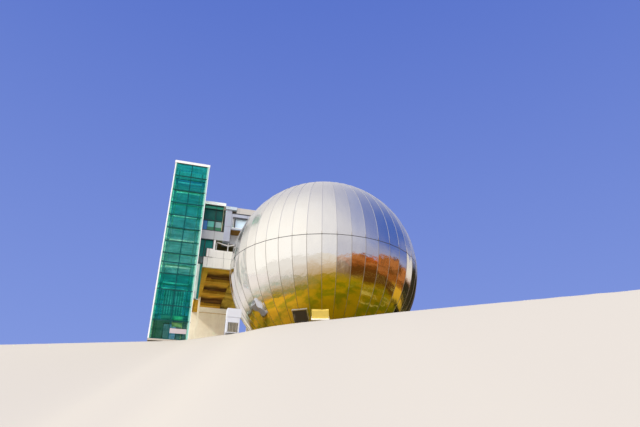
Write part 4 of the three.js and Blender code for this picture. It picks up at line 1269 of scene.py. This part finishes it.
def sky():
    """Soft studio surround: a plain light blue where it is seen directly.

    In reflections and as light it is a pale grey, brighter and warm to the front left and blue to the right,
    with a low rust-brown band and a dark upright edge there.
    """
    world = bpy.data.worlds.new("studio")
    bpy.context.scene.world = world
    world.use_nodes = True
    g = Graph(world.node_tree)
    way = g.node("ShaderNodeTexCoord").outputs["Generated"]
    east, north, height = g.parts(way)

    def towards(direction, start, end, most=1):
        """How far the way leans towards a direction, between two cosines."""
        return g.spread(g.vector("DOT_PRODUCT", way, direction), start, end, 0, most)
    around = g.mix(g.times(towards(LEFT_WAY, 0.2, 0.9), 0.8), CLOUD, HAZE)
    around = g.mix(towards(WARM_WAY, 0.32, 0.97), around, WARM)
    around = g.mix(towards(BLUE_WAY, 0.46, 0.94), around, BLUE_SKY)
    low_blue = g.times(g.spread(height, 0.42, 0.22), towards(RIGHT_WAY, 0.1, 0.7))
    around = g.mix(g.times(low_blue, 0.8), around, LOW_BLUE)
    uneven = g.noise(way, 7.0, 5.0, 0.65)
    lean = g.vector("DOT_PRODUCT", way, RIGHT_WAY)
    band_top = g.plus(g.spread(uneven, 0.3, 0.7, -0.06, 0.07), g.spread(lean, 0.3, 1, -0.05, 0.2))
    below = g.spread(g.minus(band_top, height), -0.012, 0.012)
    patches = g.spread(g.noise(way, 8.0, 5.0, 0.7), 0.49, 0.54)
    band = g.mix(patches, g.mix(towards(EMBER_WAY, 0.955, 0.985), PALE_RUST, EMBER), DARK_BROWN)
    around = g.mix(g.times(below, towards(RIGHT_WAY, 0.1, 0.5)), around, band)
    level = g.stretched(way, (1.0, 1.0, 0.0))
    dip = g.over(g.times(height, -1.0), g.most(g.vector("LENGTH", level), 0.05))
    dip = g.plus(dip, g.spread(uneven, 0.3, 0.7, -0.06, 0.06))
    under = low_surround(g, g.vector("NORMALIZE", level), dip)
    rough_patch = g.times(patches, towards(RIGHT_WAY, 0.5, 1.0, 0.6))
    around = g.mix(g.spread(height, 0.0, -0.02), around, g.mix(rough_patch, under, DARK_BROWN))
    turn = g.math("ARCTAN2", north, east)

    def upright(middle, half_width, soft, low, high):
        """1 in a strip round one compass turn and between two heights."""
        off = g.math("ABSOLUTE", g.minus(turn, middle))
        within = g.times(g.spread(height, low - 0.04, low + 0.04), g.spread(height, high + 0.04, high - 0.04))
        return g.times(g.spread(off, half_width + soft, half_width - soft, smooth=True), within)
    shade = g.most(upright(SHADE_TURN, 0.54, 0.06, -0.5, 0.34), upright(STRIP_TURN, 0.2, 0.05, -0.5, 0.10))
    around = g.mix(shade, around, NEAR_BLACK)
    around = g.mix(upright(STRIP_TURN, 0.08, 0.03, 0.13, 0.46), around, HAZE)
    seen = g.ramp(g.spread(height, 0.0, 0.95), [(0.0, SEEN_LOW), (1.0, SEEN_HIGH)])
    direct = seen_directly(g)
    back = world.node_tree.nodes["Background"].inputs
    g.feed(back["Strength"], g.spread(g.most(g.light_path()["Is Glossy Ray"], direct), 0, 1, AMBIENT, 1.0))
    g.feed(back["Color"], g.mix(direct, around, seen))


def sun():
    """One broad warm key light from the left."""
    light = bpy.data.lights.new("key", "SUN")
    light.energy, light.angle, light.color = SUN_STRENGTH, SUN_SPREAD, SUN_TINT
    made = placed("key", light)
    made.visible_glossy = False
    made.rotation_mode = "QUATERNION"
    made.rotation_quaternion = Vector(SUN_WAY).to_track_quat("Z", "Y")


def room_lamp():
    """A dim warm lamp in the dome room, which shows through the hatch."""
    light = bpy.data.lights.new("room_lamp", "POINT")
    light.energy, light.color, light.shadow_soft_size = LAMP_POWER, LAMP_TINT, LAMP_SIZE
    made = placed("room_lamp", light)
    made.location = LAMP_PLACE
    made.visible_glossy = made.visible_camera = False


def camera():
    """The camera fitted to the photo: turned to its heading, tilted by the pitch and rolled."""
    up = -math.sin(PITCH) * HEADING + np.array((0, 0, math.cos(PITCH)))
    ahead = math.cos(PITCH) * HEADING + np.array((0, 0, math.sin(PITCH)))
    across = math.cos(ROLL) * RIGHT + math.sin(ROLL) * up
    over = -math.sin(ROLL) * RIGHT + math.cos(ROLL) * up
    data = bpy.data.cameras.new("camera")
    data.lens, data.sensor_width = LENS, 36
    data.clip_end = 2000
    made = placed("camera", data)
    pose = Matrix(np.stack([across, over, -ahead], 1).tolist()).to_4x4()
    pose.translation = Vector(EYE.tolist())
    made.matrix_world = pose
    bpy.context.scene.camera = made


for material, names in CAD_FINISHES:
    for name in names.split():
        mesh = frame["nodes"][name].data
        mesh.materials.clear()
        mesh.materials.append(material)

for build in (sphere_panels, seam_battens, sphere_lining, doorway_reveal, crown, tower_posts, tower_grid,
              tower_glazing, lift, link_glazing, terrace_rail, deck, tower_side_strip, window_frames,
              bay_trim, condenser, ground, sky, sun, room_lamp, camera):
    build()
bpy.context.scene.view_settings.view_transform = "Standard"
